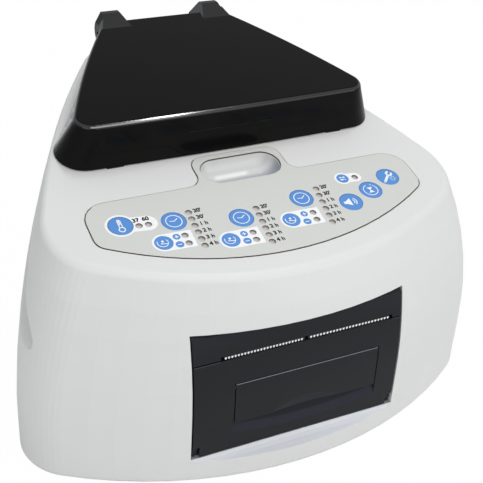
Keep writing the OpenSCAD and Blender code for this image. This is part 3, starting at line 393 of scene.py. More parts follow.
def srgb(r, g, b):
    def one(v):
        v = v / 255.0
        return v / 12.92 if v <= 0.04045 else ((v + 0.055) / 1.055) ** 2.4

    return (one(r), one(g), one(b), 1.0)


def multiply_node(tree):
    mix = tree.nodes.new("ShaderNodeMix")
    mix.data_type = "RGBA"
    mix.blend_type = "MULTIPLY"
    mix.inputs["Factor"].default_value = 1.0
    return mix


def surface(name, color, rough, metal=0.0, grain=None, mottle=None, coat=0.0, spec=0.5):
    m = bpy.data.materials.new(name)
    m.use_nodes = True
    tree = m.node_tree
    bsdf = tree.nodes["Principled BSDF"]
    bsdf.inputs["Base Color"].default_value = color
    bsdf.inputs["Roughness"].default_value = rough
    bsdf.inputs["Metallic"].default_value = metal
    bsdf.inputs["Coat Weight"].default_value = coat
    bsdf.inputs["Specular IOR Level"].default_value = spec
    if grain:
        n = tree.nodes.new("ShaderNodeGroup")
        n.node_tree = FINE_GRAIN
        n.inputs["Scale"].default_value, n.inputs["Depth"].default_value = grain
        n.inputs["Edge"].default_value = EDGE_ROUND * MM
        tree.links.new(n.outputs["Normal"], bsdf.inputs["Normal"])
    if mottle:
        n = tree.nodes.new("ShaderNodeGroup")
        n.node_tree = SOFT_MOTTLE
        for label, v in zip(("Scale", "Low", "High"), mottle):
            n.inputs[label].default_value = v
        mix = multiply_node(tree)
        mix.inputs["A"].default_value = color
        tree.links.new(n.outputs["Value"], mix.inputs["B"])
        tree.links.new(mix.outputs["Result"], bsdf.inputs["Base Color"])
    return m


# %% [markdown]
# ## The finishes
#
# The outside is white, faintly warm moulding, a glossy near-black lid and a satin
# black printer front. The hidden works have the usual finishes of their trades: blank
# aluminium for the heating block, green boards, brass, steel, rubber, foam and card.
# Scanned textures could hold more detail, but a few numbers stay sharp at any distance
# and are quick to change. The names are those of the finishes in the part's record.

# %% Finishes of the outside
MAT = {
    "shell_white": surface("shell_white", srgb(229, 229, 227), 0.42, grain=(2600, 6e-6),
                           mottle=(14, 0.985, 1.0)),
    "base_grey": surface("base_grey", srgb(205, 205, 202), 0.6, grain=(2000, 1e-5)),
    "foot_rubber": surface("foot_rubber", srgb(30, 30, 31), 0.8, grain=(1800, 2e-5)),
    "dark_plastic": surface("dark_plastic", srgb(11, 10, 9), 0.13, grain=(3200, 1e-6),
                            mottle=(25, 0.85, 1.0), spec=0.11),
    "printer_black": surface("printer_black", srgb(26, 27, 30), 0.42, grain=(2800, 8e-6),
                             mottle=(40, 0.88, 1.0), spec=0.25),
    "lens_clear": surface("lens_clear", srgb(216, 210, 204), 0.3, coat=0.3),
    "bar_steel": surface("bar_steel", srgb(252, 252, 252), 0.3, metal=0.25),
    "seal_black": surface("seal_black", srgb(26, 26, 27), 0.85, grain=(900, 5e-5)),
    "film_edge": surface("film_edge", srgb(74, 52, 44), 0.6),
    "ink_white": surface("ink_white", srgb(250, 252, 255), 0.45),
    "ink_black": surface("ink_black", srgb(14, 14, 18), 0.5),
    "ink_pale": surface("ink_pale", srgb(160, 196, 232), 0.45),
}
print("finishes of the outside:", len(MAT))

# %% Finishes of the hidden works
MAT.update({
    "steel": surface("steel", srgb(190, 191, 193), 0.3, metal=1.0, grain=(1500, 4e-6)),
    "board_green": surface("board_green", srgb(24, 84, 52), 0.45, mottle=(60, 0.85, 1.0)),
    "chip_black": surface("chip_black", srgb(32, 32, 34), 0.55, grain=(3000, 6e-6)),
    "block_alu": surface("block_alu", srgb(205, 206, 208), 0.34, metal=1.0, grain=(900, 8e-6)),
    "foam_white": surface("foam_white", srgb(232, 230, 222), 0.9, grain=(700, 8e-5)),
    "film_amber": surface("film_amber", srgb(205, 125, 40), 0.3, mottle=(300, 0.8, 1.0)),
    "gear_white": surface("gear_white", srgb(226, 222, 208), 0.45),
    "brass": surface("brass", srgb(205, 165, 90), 0.3, metal=1.0),
    "ceramic": surface("ceramic", srgb(188, 184, 168), 0.3),
    "roller_rubber": surface("roller_rubber", srgb(34, 34, 35), 0.7, grain=(1800, 1e-5)),
    "paper": surface("paper", srgb(240, 240, 238), 0.8, grain=(900, 1.5e-5)),
    "card": surface("card", srgb(178, 150, 112), 0.85, grain=(700, 3e-5)),
    "shell_metal": surface("shell_metal", srgb(222, 223, 225), 0.25, metal=1.0),
})
print("all plain finishes:", len(MAT))

# %% [markdown]
# ## Painting light and shade into a finish
#
# Painted shade, painted highlights and painted reflections are a colour that is a little
# darker, paler or bluer. An image texture could hold them, but it would need an unwrapped mesh
# and would blur close up. `tint` multiplies the colour instead, wherever a mask is 1, so tints
# can be laid one over another. `paint_light_by_facing` picks the tint by how far a face is
# turned along an axis, and so paints the light or reflection a surface would take from what it
# faces.

# %% The tint and paint_light_by_facing functions
RAMP_TOP = 2.5


def tint(m, mask, color):
    tree = m.node_tree
    base = tree.nodes["Principled BSDF"].inputs["Base Color"]
    mix = multiply_node(tree)
    if mask is not None:
        tree.links.new(mask, mix.inputs["Factor"])
    if base.links:
        tree.links.new(base.links[0].from_socket, mix.inputs["A"])
    else:
        mix.inputs["A"].default_value = base.default_value
    if isinstance(color, tuple):
        mix.inputs["B"].default_value = (*color, 1)
    else:
        tree.links.new(color, mix.inputs["B"])
    tree.links.new(mix.outputs["Result"], base)


# painted light, shade or reflection, picked by which way a face turns
def paint_light_by_facing(m, stops, axis=SKYWARD, mask=None):
    # A colour ramp stores 0 to 1, so tints up to RAMP_TOP are scaled down and up again
    tree = m.node_tree
    ramp = tree.nodes.new("ShaderNodeValToRGB")
    marks = ramp.color_ramp.elements
    while len(marks) < len(stops):
        marks.new(0.5)
    for mark, (turn, rgb) in zip(marks, stops):
        mark.position = (turn + 1) / 2
        mark.color = (*[v / RAMP_TOP for v in rgb], 1)
    turned = part_place(tree, axis)["Turn"]
    tree.links.new(math_node(tree, "MULTIPLY_ADD", turned, 0.5, 0.5), ramp.inputs["Fac"])
    tint(m, mask, vec_node(tree, "MULTIPLY", ramp.outputs["Color"], (RAMP_TOP,) * 3))


# %% [markdown]
# ## The tear bar's teeth
#
# The saw-toothed steel bar above the paper slot cuts the strip. Its teeth are in the CAD form,
# but they are so small that light alone hardly separates them. The steps of the teeth are
# known, so the material counts them along the bar and paints shade into the gap between two
# teeth. The two halves, left and right of the notch, have their own start and step.
#
# Here and below, limits for `span` are (from, to, soft edge): places in
# millimetres, turns from -1 to 1.

# %% Painted shade in the gaps between the teeth
NOTCH_X = 2.4
LEFT_TEETH = (-37.1, 1.52)
RIGHT_TEETH = (3.9, 1.648)
GAP_SHADE_SPAN = (0.24, 2.0, 0.1)
GAP_SHADE_TONE = (0.05, 0.05, 0.06)


def paint_teeth_gap_shade(m):
    tree = m.node_tree
    x = part_place(tree)["X"]
    counts = [math_node(tree, "DIVIDE", math_node(tree, "SUBTRACT", x, start), step)
              for start, step in (RIGHT_TEETH, LEFT_TEETH)]
    pick = tree.nodes.new("ShaderNodeMix")
    tree.links.new(math_node(tree, "LESS_THAN", x, NOTCH_X), pick.inputs["Factor"])
    tree.links.new(counts[0], pick.inputs["A"])
    tree.links.new(counts[1], pick.inputs["B"])
    step = math_node(tree, "FRACT", pick.outputs["Result"])
    gap = math_node(tree, "ABSOLUTE", math_node(tree, "SUBTRACT", step, 0.5))
    # paint the shade that falls in the gap between two teeth
    tint(m, span(tree, gap, GAP_SHADE_SPAN), GAP_SHADE_TONE)


paint_teeth_gap_shade(MAT["bar_steel"])
print("bar_steel: gaps every", LEFT_TEETH[1], "and", RIGHT_TEETH[1], "mm")

# %% [markdown]
# ## The sill and the finger scoop of the white housing
#
# Two places of the housing get painted light and shade. The sill below the printer door has a
# painted paler, bluer light on it. The scoop in front of the lid, for a fingertip, is a shallow
# trough with a painted highlight on its floor and a painted bluish shade on its near side. Both
# are the same moulding as the wall, so both are tints of one material and not extra pieces.

# %% The sill
SILL_Z = (12.6, 16.6, 0.5)
SILL_Y = (-108, -92.5, 1.0)
SILL_TURN = (0.75, 1.5, 0.1)
SILL_LIGHT_TONE = (1.13, 1.16, 1.24)


def paint_sill_light(m):
    tree = m.node_tree
    place = part_place(tree)
    area = overlap(tree, span(tree, place["Z"], SILL_Z), span(tree, place["Y"], SILL_Y))
    # paint a paler, bluer light on the faces of the sill that look up
    tint(m, overlap(tree, area, span(tree, place["Turn"], SILL_TURN)), SILL_LIGHT_TONE)


paint_sill_light(MAT["shell_white"])
print("sill tint:", SILL_LIGHT_TONE)

# %% The finger scoop
SCOOP_DEPTH = (0.6, 9, 0.6)
SCOOP_Y = (-42, -14, 0.5)
SCOOP_X = (-24, 24, 0.5)
# how far the face is turned to the back, and its painted light or shade
SCOOP_LIGHT_SHADE_TONES = [
    (-0.95, (1.04, 1.04, 1.03)), (-0.78, (0.88, 0.88, 0.88)), (-0.6, (0.93, 0.94, 0.95)),
    (-0.45, (0.85, 0.86, 0.88)), (-0.3, (0.67, 0.69, 0.73)), (0.0, (0.52, 0.55, 0.61)),
]
GLINT_TURN = (-0.72, -0.4, 0.1)
GLINT_X = (-12, 7, 2.5)
GLINT_TONE = (1.3, 1.3, 1.28)


def shade_scoop(m):
    tree = m.node_tree
    place = part_place(tree, BACKWARD)
    deck = math_node(tree, "MULTIPLY_ADD", place["Y"], DECK_RISE, DECK_Z0)
    deep = span(tree, math_node(tree, "SUBTRACT", deck, place["Z"]), SCOOP_DEPTH)
    inside = overlap(tree, deep, span(tree, place["Y"], SCOOP_Y),
                     span(tree, place["X"], SCOOP_X))
    # paint shade and light in the scoop by how far each face turns to the back
    paint_light_by_facing(m, SCOOP_LIGHT_SHADE_TONES, BACKWARD, inside)
    # paint a highlight on the part of the scoop's floor that faces the front
    glint = overlap(tree, span(tree, place["Turn"], GLINT_TURN),
                    span(tree, place["X"], GLINT_X))
    tint(m, overlap(tree, inside, glint), GLINT_TONE)


shade_scoop(MAT["shell_white"])
print("scoop tones:", len(SCOOP_LIGHT_SHADE_TONES))

# %% [markdown]
# ## Painted shade, highlights and sky reflection on the printer's black front
#
# The flap that unlocks the printer door would shade the ledge under it, so a shadow is painted
# there; the ledge sags a little in the middle, so the limit of the painted shade follows a
# parabola. Thin highlights are painted on the top edge of the flap and on the corners beside
# the tear bar. The rest of the black is satin, with a painted bluish reflection by which way a
# face looks: darker where it looks down, brighter where it looks a little up.
#
# A painted highlight on a nearly black plastic needs a large factor, which is why the highlight
# tints below are far above 1.

# %% The shaded ledge
LEDGE_MIDDLE = 4.3
LEDGE_LOW = 21.5
LEDGE_SAG = 358.7
LEDGE_RISE = (3.6, 20, 0.8)
LEDGE_TURN = (0.25, 0.42, 0.02)
LEDGE_SHADE_TONE = (0.36, 0.37, 0.42)


def shade_finger_ledge(m):
    tree = m.node_tree
    place = part_place(tree)
    side = math_node(tree, "SUBTRACT", place["X"], LEDGE_MIDDLE)
    dip = math_node(tree, "DIVIDE", math_node(tree, "MULTIPLY", side, side), LEDGE_SAG)
    rise = math_node(tree, "SUBTRACT", math_node(tree, "SUBTRACT", place["Z"], LEDGE_LOW), dip)
    shade = overlap(tree, span(tree, rise, LEDGE_RISE), span(tree, place["Turn"], LEDGE_TURN))
    # paint the shadow that the flap casts on the ledge
    tint(m, shade, LEDGE_SHADE_TONE)


shade_finger_ledge(MAT["printer_black"])
print("ledge shade:", LEDGE_SHADE_TONE)

# %% The painted edge highlights
UPRIGHT = 0.5
FLAP_TOP_Z = (51.1, 51.8, 0.1)
FLAP_TOP_X = (-31.6, 40.1, 0.3)
FLAP_HIGHLIGHT_TONE = (26, 26, 25)
BAND_MIDDLE = 4.0
BAND_TOP_Z = (64.3, 65.2, 0.1)
BAND_SIDE = (42.6, 60, 0.3)
BAND_HIGHLIGHT_TONE = (5, 5, 5.3)


def paint_edge_highlights(m):
    tree = m.node_tree
    place = part_place(tree)
    front = math_node(tree, "LESS_THAN", place["Turn"], UPRIGHT)
    flap = overlap(tree, span(tree, place["Z"], FLAP_TOP_Z),
                   span(tree, place["X"], FLAP_TOP_X))
    # paint a highlight on the top edge of the flap
    tint(m, overlap(tree, flap, front), FLAP_HIGHLIGHT_TONE)
    side = math_node(tree, "SUBTRACT", place["X"], BAND_MIDDLE)
    side = math_node(tree, "ABSOLUTE", side)
    band = overlap(tree, span(tree, place["Z"], BAND_TOP_Z), span(tree, side, BAND_SIDE))
    # paint a highlight on the band's corners beside the tear bar
    tint(m, overlap(tree, band, front), BAND_HIGHLIGHT_TONE)


paint_edge_highlights(MAT["printer_black"])
print("worn edges: flap", FLAP_HIGHLIGHT_TONE, "band", BAND_HIGHLIGHT_TONE)

# %% The painted sky reflection on the black front
# how far the face is turned up, and its painted reflection tint
BLACK_REFLECTION_TONES = [
    (-0.4, (0.55, 0.6, 0.8)), (-0.12, (0.7, 0.75, 0.95)), (0.0, (1, 1, 1)),
    (0.2, (1, 1, 1)), (0.32, (1.8, 1.9, 2.5)), (0.6, (1, 1, 1)),
]
paint_light_by_facing(MAT["printer_black"], BLACK_REFLECTION_TONES)
print("black tones:", len(BLACK_REFLECTION_TONES))

# %% [markdown]
# ## The lid's polished rim
#
# The lid is glossy near-black plastic. Hands open it by its rim, which is worn smoother
# and shows as a thin bright line. Raising the gloss of the whole lid would spoil its
# calm top, so the rim mask switches a clear coat on only where the edge is rounded.

# %% A clear coat on the rim
RIM_COAT_ROUGHNESS = 0.11
RIM_COAT_IOR = 1.8


def polish_rims(m):
    tree = m.node_tree
    bsdf = tree.nodes["Principled BSDF"]
    n = tree.nodes.new("ShaderNodeGroup")
    n.node_tree = RIM_MASK
    bsdf.inputs["Coat Roughness"].default_value = RIM_COAT_ROUGHNESS
    bsdf.inputs["Coat IOR"].default_value = RIM_COAT_IOR
    tree.links.new(n.outputs["Mask"], bsdf.inputs["Coat Weight"])


polish_rims(MAT["dark_plastic"])
print("rim coat: roughness", RIM_COAT_ROUGHNESS)

# %% [markdown]
# ## The printed key panel
#
# The panel is one sheet of printed film. Its white pills, its blue discs and the pale halo
# round each key are ink, with no thickness to speak of. Meshes could show them, but
# such plain shapes are simpler to paint in the shader: each is a strip mask laid over
# the grey, and a disc is a strip of no length. The object coordinates are turned
# into panel millimetres first.

# %% What is printed on the film
OVERLAY_GREY = srgb(215, 216, 211)
KEY_BLUE = srgb(84, 146, 218)
HALO_BLUE = srgb(202, 214, 230)
PILL_WHITE = srgb(250, 251, 252)
HALO_RADIUS = 5.95
# (from, to, radius, square end) of each white shape
WHITE_SHAPES = [
    ((-66.3, -46.7), (-66.3, -46.7), 6.6, 0.0),
    ((-66.3, -46.7), (-54.6, -48.0), 4.4, 0.0),
    ((43.7, -43.4), (43.7, -43.4), 3.9, 0.0),
    ((43.7, -43.4), (50.2, -43.9), 3.0, 0.0),
    ((-52.2, -61.1), (-38.6, -61.5), 5.0, 1.0),
    ((-23.8, -67.0), (-9.4, -67.3), 5.0, 1.0),
    ((7.5, -62.5), (22.4, -62.9), 5.0, 1.0),
]
# (x, t, radius) of the printed blue discs, by what is drawn on them
VIAL_DISCS = [(-52.2, -61.1, 4.1), (-23.8, -67.0, 4.1), (7.5, -62.5, 4.1)]
PLUS_DISCS = [(-45.7, -59.1, 1.7), (-16.8, -65.0, 1.7), (14.8, -60.5, 1.7)]
MINUS_DISCS = [(-45.9, -63.7, 1.85), (-17.1, -69.4, 1.85), (14.1, -65.3, 1.85)]
LIST_DISC = (43.7, -43.4, 2.95)
DISCS = VIAL_DISCS + PLUS_DISCS + MINUS_DISCS + [LIST_DISC]
print("white shapes:", len(WHITE_SHAPES), "blue discs:", len(DISCS))

# %% Helpers that lay ink on ink


def strip(tree, point, a, b, radius, square=0.0):
    n = tree.nodes.new("ShaderNodeGroup")
    n.node_tree = STRIP_MASK
    tree.links.new(point, n.inputs["Point"])
    n.inputs["From"].default_value = (*a, 0.0)
    n.inputs["To"].default_value = (*b, 0.0)
    n.inputs["Radius"].default_value = radius
    n.inputs["Square end"].default_value = square
    return n.outputs["Mask"]


def any_of(tree, masks):
    out = masks[0]
    for m in masks[1:]:
        out = math_node(tree, "MAXIMUM", out, m)
    return out


def layer(tree, under, color, mask):
    mix = tree.nodes.new("ShaderNodeMix")
    mix.data_type = "RGBA"
    tree.links.new(mask, mix.inputs["Factor"])
    if isinstance(under, tuple):
        mix.inputs["A"].default_value = under
    else:
        tree.links.new(under, mix.inputs["A"])
    mix.inputs["B"].default_value = color
    return mix.outputs["Result"]


def panel_point(tree):
    place = part_place(tree)
    point = tree.nodes.new("ShaderNodeCombineXYZ")
    tree.links.new(place["X"], point.inputs["X"])
    up_slope = math_node(tree, "DIVIDE", place["Y"], math.cos(DECK_A))
    tree.links.new(up_slope, point.inputs["Y"])
    return point.outputs[0]


# %% The printed film
FILM_ROUGH = 0.45
FILM_GRAIN = (2600, 4e-6)


def build_overlay():
    m = surface("overlay_print", OVERLAY_GREY, FILM_ROUGH, grain=FILM_GRAIN)
    tree = m.node_tree
    p = panel_point(tree)
    halos = [strip(tree, p, c, c, HALO_RADIUS) for c in KEYS.values()]
    white = [strip(tree, p, *shape) for shape in WHITE_SHAPES]
    blue = [strip(tree, p, (x, t), (x, t), r) for x, t, r in DISCS]
    col = layer(tree, OVERLAY_GREY, HALO_BLUE, any_of(tree, halos))
    col = layer(tree, col, PILL_WHITE, any_of(tree, white))
    col = layer(tree, col, KEY_BLUE, any_of(tree, blue))
    tree.links.new(col, tree.nodes["Principled BSDF"].inputs["Base Color"])
    return m


MAT["overlay_grey"] = build_overlay()
MAT["key_blue"] = surface("key_blue", KEY_BLUE, 0.42, grain=FILM_GRAIN)
print("materials:", len(MAT))

# %% [markdown]
# ## Every CAD node gets its material
#
# The record says which finish each node has, so one loop dresses the whole frame, and
# a node that is added later is dressed too. Two places need more: the tear bar has
# its own beaded steel, and the film shows a dark printed layer at its cut edges.

# %% Dress the nodes
SLOT_OF = {s["node"]: s["material_slot"] for s in frame["record"]["subparts"]}
for name, obj in NODES.items():
    obj.data.materials.clear()
    obj.data.materials.append(MAT[SLOT_OF[name]])
NODES["tear_bar"].data.materials[0] = MAT["bar_steel"]

EDGE_SLOT = 1
film = NODES["key_overlay"]
film.data.materials.append(MAT["film_edge"])
for poly in film.data.polygons:
    if abs(poly.normal.dot(DECK_UP)) < 0.5:
        poly.material_index = EDGE_SLOT
cut = sum(p.material_index == EDGE_SLOT for p in film.data.polygons)
print("dressed", len(NODES), "nodes; cut edge faces of the film:", cut)

# %% [markdown]
# ## Smooth curved walls
#
# CAD curves arrive as many narrow flat facets. More facets would only make the file
# heavy. Shading them smooth where they meet at a shallow angle hides them and leaves the
# true edges sharp. The large walls get a smaller limit, and normals weighted by
# area, so that a thin facet at the edge can't bend the shading of a wide one.

# %% Smooth shading
PLAIN_ANGLE = 32
WALL_ANGLE = 24
WALLS = ("upper_housing", "lid_shell")
AREA_WEIGHT = 80


def smooth_by_angle(obj, degrees):
    bpy.ops.object.select_all(action="DESELECT")
    obj.select_set(True)
    bpy.context.view_layer.objects.active = obj
    bpy.ops.object.shade_smooth_by_angle(angle=math.radians(degrees))


for name, obj in NODES.items():
    smooth_by_angle(obj, WALL_ANGLE if name in WALLS else PLAIN_ANGLE)
for name in (*WALLS, "base_plate"):
    even = NODES[name].modifiers.new("even_normals", "WEIGHTED_NORMAL")
    even.mode = "FACE_AREA"
    even.weight = AREA_WEIGHT
    even.keep_sharp = True
print("smoothed", len(NODES), "nodes")

# %% [markdown]
# ## Printed marks as thin meshes
#
# Icons and lettering have crisp outlines, which a shader mask can hardly draw. So they
# are flat shapes, a few hundredths of a millimetre above the surface they are printed on.
# `disc`, `ring` and `bar` make outlines in millimetres, and `print_on` turns them into
# one mesh on the panel that rides on a body, so that an icon moves with its key.

# %% Outlines


def disc(cx, cy, r, n):
    return [(cx + r * math.cos(2 * math.pi * k / n), cy + r * math.sin(2 * math.pi * k / n))
            for k in range(n)]


def ring(cx, cy, r0, r1, a0=0.0, a1=360.0, n=40):
    quads = []
    for k in range(n):
        p = math.radians(a0 + (a1 - a0) * k / n)
        q = math.radians(a0 + (a1 - a0) * (k + 1) / n)
        quads.append([
            (cx + r0 * math.cos(p), cy + r0 * math.sin(p)),
            (cx + r1 * math.cos(p), cy + r1 * math.sin(p)),
            (cx + r1 * math.cos(q), cy + r1 * math.sin(q)),
            (cx + r0 * math.cos(q), cy + r0 * math.sin(q)),
        ])
    return quads


def bar(x0, y0, x1, y1, w):
    d = Vector((x1 - x0, y1 - y0)).normalized() * (w / 2)
    return [(x0 + d.y, y0 - d.x), (x1 + d.y, y1 - d.x), (x1 - d.y, y1 + d.x),
            (x0 - d.y, y0 + d.x)]


def facing_up(face):
    area = sum(face[i][0] * face[(i + 1) % len(face)][1]
               - face[(i + 1) % len(face)][0] * face[i][1] for i in range(len(face)))
    return face if area > 0 else face[::-1]


# %% From outlines to a mesh on the panel
INK_ON_KEY = KEY_TOP + 0.01
INK_ON_FILM = FILM_TOP + 0.01


def new_object(name, verts, faces, material, body):
    me = bpy.data.meshes.new(name)
    me.from_pydata([tuple(v) for v in verts], [], faces)
    me.materials.append(material)
    me.update()
    o = bpy.data.objects.new(name, me)
    bpy.context.scene.collection.objects.link(o)
    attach(o, body)
    return o


def print_on(name, faces, centre, n, material, body):
    verts, idx = [], []
    for f in faces:
        idx.append(list(range(len(verts), len(verts) + len(f))))
        for x, y in facing_up(f):
            verts.append(on_panel(centre[0] + x, centre[1] + y, n))
    print(name, "has", len(faces), "faces, on", body)
    return new_object(name, verts, idx, material, body)


# %% [markdown]
# ## The dark line inside the film's cut edge
#
# A thin dark line is drawn just inside the film's front and left edges. A second sheet would
# have to be fitted by hand. The line is grown from the edge faces of the film instead, each
# giving one narrow quad on the inner side. Faces beside a key or lamp are holes and not the
# film's outline, so they are left out.

# %% The film's margin
MARGIN_WIDTH = 0.3
HOLE_REACH = 7


def film_margin(width):
    me = film.data
    deck_x = Vector((1, 0, 0))
    deck_y = Vector((0, math.cos(DECK_A), math.sin(DECK_A)))
    holes = list(KEYS.values()) + LAMPS
    faces = []
    for poly in me.polygons:
        if poly.material_index != EDGE_SLOT:
            continue
        out_x, out_y = poly.normal.dot(deck_x), poly.normal.dot(deck_y)
        rear = out_y > 0.8
        right = out_x > 0.25 and out_y > -0.2
        if rear or right:
            continue
        flat = [(me.vertices[i].co - on_panel(0, 0)) / MM for i in poly.vertices]
        top = [(v.dot(deck_x), v.dot(deck_y)) for v in flat if v.dot(DECK_UP) > FILM_TOP - 0.02]
        if len(top) != 2:
            continue
        (ax, ay), (bx, by) = top
        mx, my = (ax + bx) / 2, (ay + by) / 2
        if any(math.hypot(mx - x, my - y) < HOLE_REACH for x, y in holes):
            continue
        dx, dy = -out_x * width, -out_y * width
        faces.append([(ax, ay), (bx, by), (bx + dx, by + dy), (ax + dx, ay + dy)])
    return faces


print_on("film_margin", film_margin(MARGIN_WIDTH), (0, 0), INK_ON_FILM, MAT["film_edge"],
         "housing")

# %% [markdown]
# ## The icons on the keys
#
# Each key shows its task: a clock on the three timer keys, a thermometer for the heat, a
# speaker for the sound, an open ring round an hourglass for the cycle, a wrench and a
# cog for the setup. Each is a list of a few simple outlines about the key's centre, in
# millimetres, which is easier to change than traced curves.

# %% Clock, thermometer and speaker
LINE = 0.42


def clock_faces():
    f = ring(0, 0, 3.35, 3.75)
    f.append(bar(0.2, 0.0, 1.9, 1.3, LINE))
    f.append(bar(0.5, -0.1, -1.9, 0.35, LINE))
    f.append(disc(0, 0, 0.35, 12))
    return f


def thermometer_faces():
    f = ring(0, -2.4, 1.05, 1.55)
    f.append(bar(-0.66, -1.25, -0.66, 2.9, LINE))
    f.append(bar(0.66, -1.25, 0.66, 2.9, LINE))
    f += ring(0, 2.9, 0.45, 0.87, 0, 180, 12)
    f.append(bar(0, 0.6, 0, 3.4, 0.6))
    return f


def speaker_faces():
    f = [[(-3.6, -0.8), (-2.4, -0.8), (-2.4, 0.8), (-3.6, 0.8)],
         [(-2.4, -0.9), (0.1, -2.4), (0.1, 2.4), (-2.4, 0.9)]]
    f += ring(0.2, 0, 1.35, 1.75, -50, 50, 12)
    f += ring(0.2, 0, 2.35, 2.8, -52, 52, 14)
    return f


# %% Cycle, wrench and cog


def cycle_faces():
    f = ring(0, 0, 3.25, 3.65, 105, 395, 44)
    f.append([(-1.2, 1.5), (1.2, 1.5), (0.2, 0.1), (-0.2, 0.1)])
    f.append([(-0.2, -0.1), (0.2, -0.1), (1.2, -1.5), (-1.2, -1.5)])
    f.append(bar(-1.4, 1.6, 1.4, 1.6, 0.3))
    f.append(bar(-1.4, -1.6, 1.4, -1.6, 0.3))
    f.append(disc(1.4, 3.2, 0.3, 10))
    f.append(disc(2.5, 2.5, 0.3, 10))
    return f


def wrench_faces():
    f = [bar(-2.9, -2.9, 0.9, 1.1, 1.25)]
    f += ring(1.6, 1.9, 0.75, 1.75, 75, 375, 24)
    f.append(disc(-2.9, -2.9, 0.62, 14))
    return f


def cog_faces():
    x, y = 2.0, -1.6
    f = ring(x, y, 0.7, 1.25, 0, 360, 20)
    for k in range(8):
        a = math.radians(45 * k)
        f.append(bar(x + 1.15 * math.cos(a), y + 1.15 * math.sin(a),
                     x + 1.7 * math.cos(a), y + 1.7 * math.sin(a), 0.5))
    return f


# %% Print the icons
TIMER_KEYS = ("key_timer_a", "key_timer_b", "key_timer_c")
ICONS = [("icon_" + key, clock_faces, key, "ink_white") for key in TIMER_KEYS] + [
    ("icon_heat", thermometer_faces, "key_heat", "ink_white"),
    ("icon_sound", speaker_faces, "key_sound", "ink_white"),
    ("icon_cycle", cycle_faces, "key_cycle", "ink_white"),
    ("icon_wrench", wrench_faces, "key_setup", "ink_white"),
    ("icon_cog", cog_faces, "key_setup", "ink_pale"),
]
for name, outline, key, ink in ICONS:
    print_on(name, outline(), KEYS[key], INK_ON_KEY, MAT[ink], key)

# %% [markdown]
# ## The small marks on the printed discs
#
# Beside each timer are three discs: one with a vial, one with a plus sign and one with a
# minus sign. The last disc has four short bars. All of it is white ink on the film,
# which doesn't move, so a single mesh on the housing is enough.

# %% Vials, signs and bars
SIGN = 0.95
small = []
for x, t, _ in VIAL_DISCS:
    small += ring(x - 0.4, t + 0.2, 2.2, 2.55, 150, 395, 24)
    small += [bar(x - 1.4, t - 0.2, x + 1.6, t - 0.9, 0.45), disc(x - 0.3, t + 0.9, 0.6, 14)]
for x, t, _ in PLUS_DISCS:
    small += [bar(x - SIGN, t, x + SIGN, t, LINE), bar(x, t - SIGN, x, t + SIGN, LINE)]
for x, t, _ in MINUS_DISCS:
    small.append(bar(x - SIGN, t, x + SIGN, t, LINE))
x, t, _ = LIST_DISC
# from, to, height above the middle, thickness
for left, right, up, thick in ((-1.3, -0.2, 0.8, 0.7), (0.3, 1.4, 0.7, 0.9),
                               (-1.3, 0.2, -0.7, 0.8), (0.6, 1.4, -0.8, 0.5)):
    small.append(bar(x + left, t + up, x + right, t + up, thick))
print_on("small_marks", small, (0, 0), INK_ON_FILM + 0.01, MAT["ink_white"], "housing")

# %% [markdown]
# ## Lettering beside the lamps
#
# Each row of lamps has the same six times beside it, and two lamps show the
# temperature. Blender's text object has the outlines ready, so each word is set once,
# turned into a mesh, and copied to its places. The built-in font has no bold cut, and
# thickening the curve closes the small counters, so four copies a little apart make
# the strokes bold.

# %% Set the words
TIMES = ["20'", "30'", "1 h", "2 h", "3 h", "4 h"]
WARMTHS = [("37", -60.6, -46.2), ("60", -56.2, -46.2)]
LABEL_SIZE = 3.05


def letters(text, size):
    cu = bpy.data.curves.new("letters", "FONT")
    cu.body = text
    cu.size = size
    tmp = bpy.data.objects.new("letters", cu)
    bpy.context.scene.collection.objects.link(tmp)
    bpy.context.view_layer.update()
    shown = tmp.evaluated_get(bpy.context.evaluated_depsgraph_get())
    me = shown.to_mesh()
    verts = [(v.co.x, v.co.y) for v in me.vertices]
    faces = [[verts[i] for i in p.vertices] for p in me.polygons]
    shown.to_mesh_clear()
    bpy.data.objects.remove(tmp)
    bpy.data.curves.remove(cu)
    return faces


glyphs = {t: letters(t, LABEL_SIZE) for t in TIMES + [word for word, x, t in WARMTHS]}
print("words:", len(glyphs))

# %% Place the words
BOLD = 0.12
LABEL_RIGHT = 2.3
LABEL_DOWN = 0.55
placed = [(word, x + k * dx + LABEL_RIGHT, t + k * dt - LABEL_DOWN)
          for x, t, dx, dt in LAMP_ROWS for k, word in enumerate(TIMES)]
labels = []
for word, x, t in placed + WARMTHS:
    for sx, sy in ((-1, -1), (1, -1), (1, 1), (-1, 1)):
        for f in glyphs[word]:
            labels.append([(px + x + sx * BOLD, py + t + sy * BOLD) for px, py in f])
print_on("lamp_labels", labels, (0, 0), INK_ON_FILM, MAT["ink_black"], "housing")

# %% [markdown]
# ## The ticks of the clock dials, with Geometry Nodes
#
# The ticks round a dial are one bar repeated on a circle. A loop could write them too, but
# a node tree keeps the count and the sizes as named inputs that can be tried by hand. It
# makes the points of a circle, turns a copy of the bar to face the centre at each, and is
# run once per dial. Realize Instances and Set Material make it a plain mesh.

# %% The tick tree
TICK_COUNT = 12
TICK_CIRCLE = 2.9
TICK_LENGTH = 0.5
TICK_WIDTH = 0.2


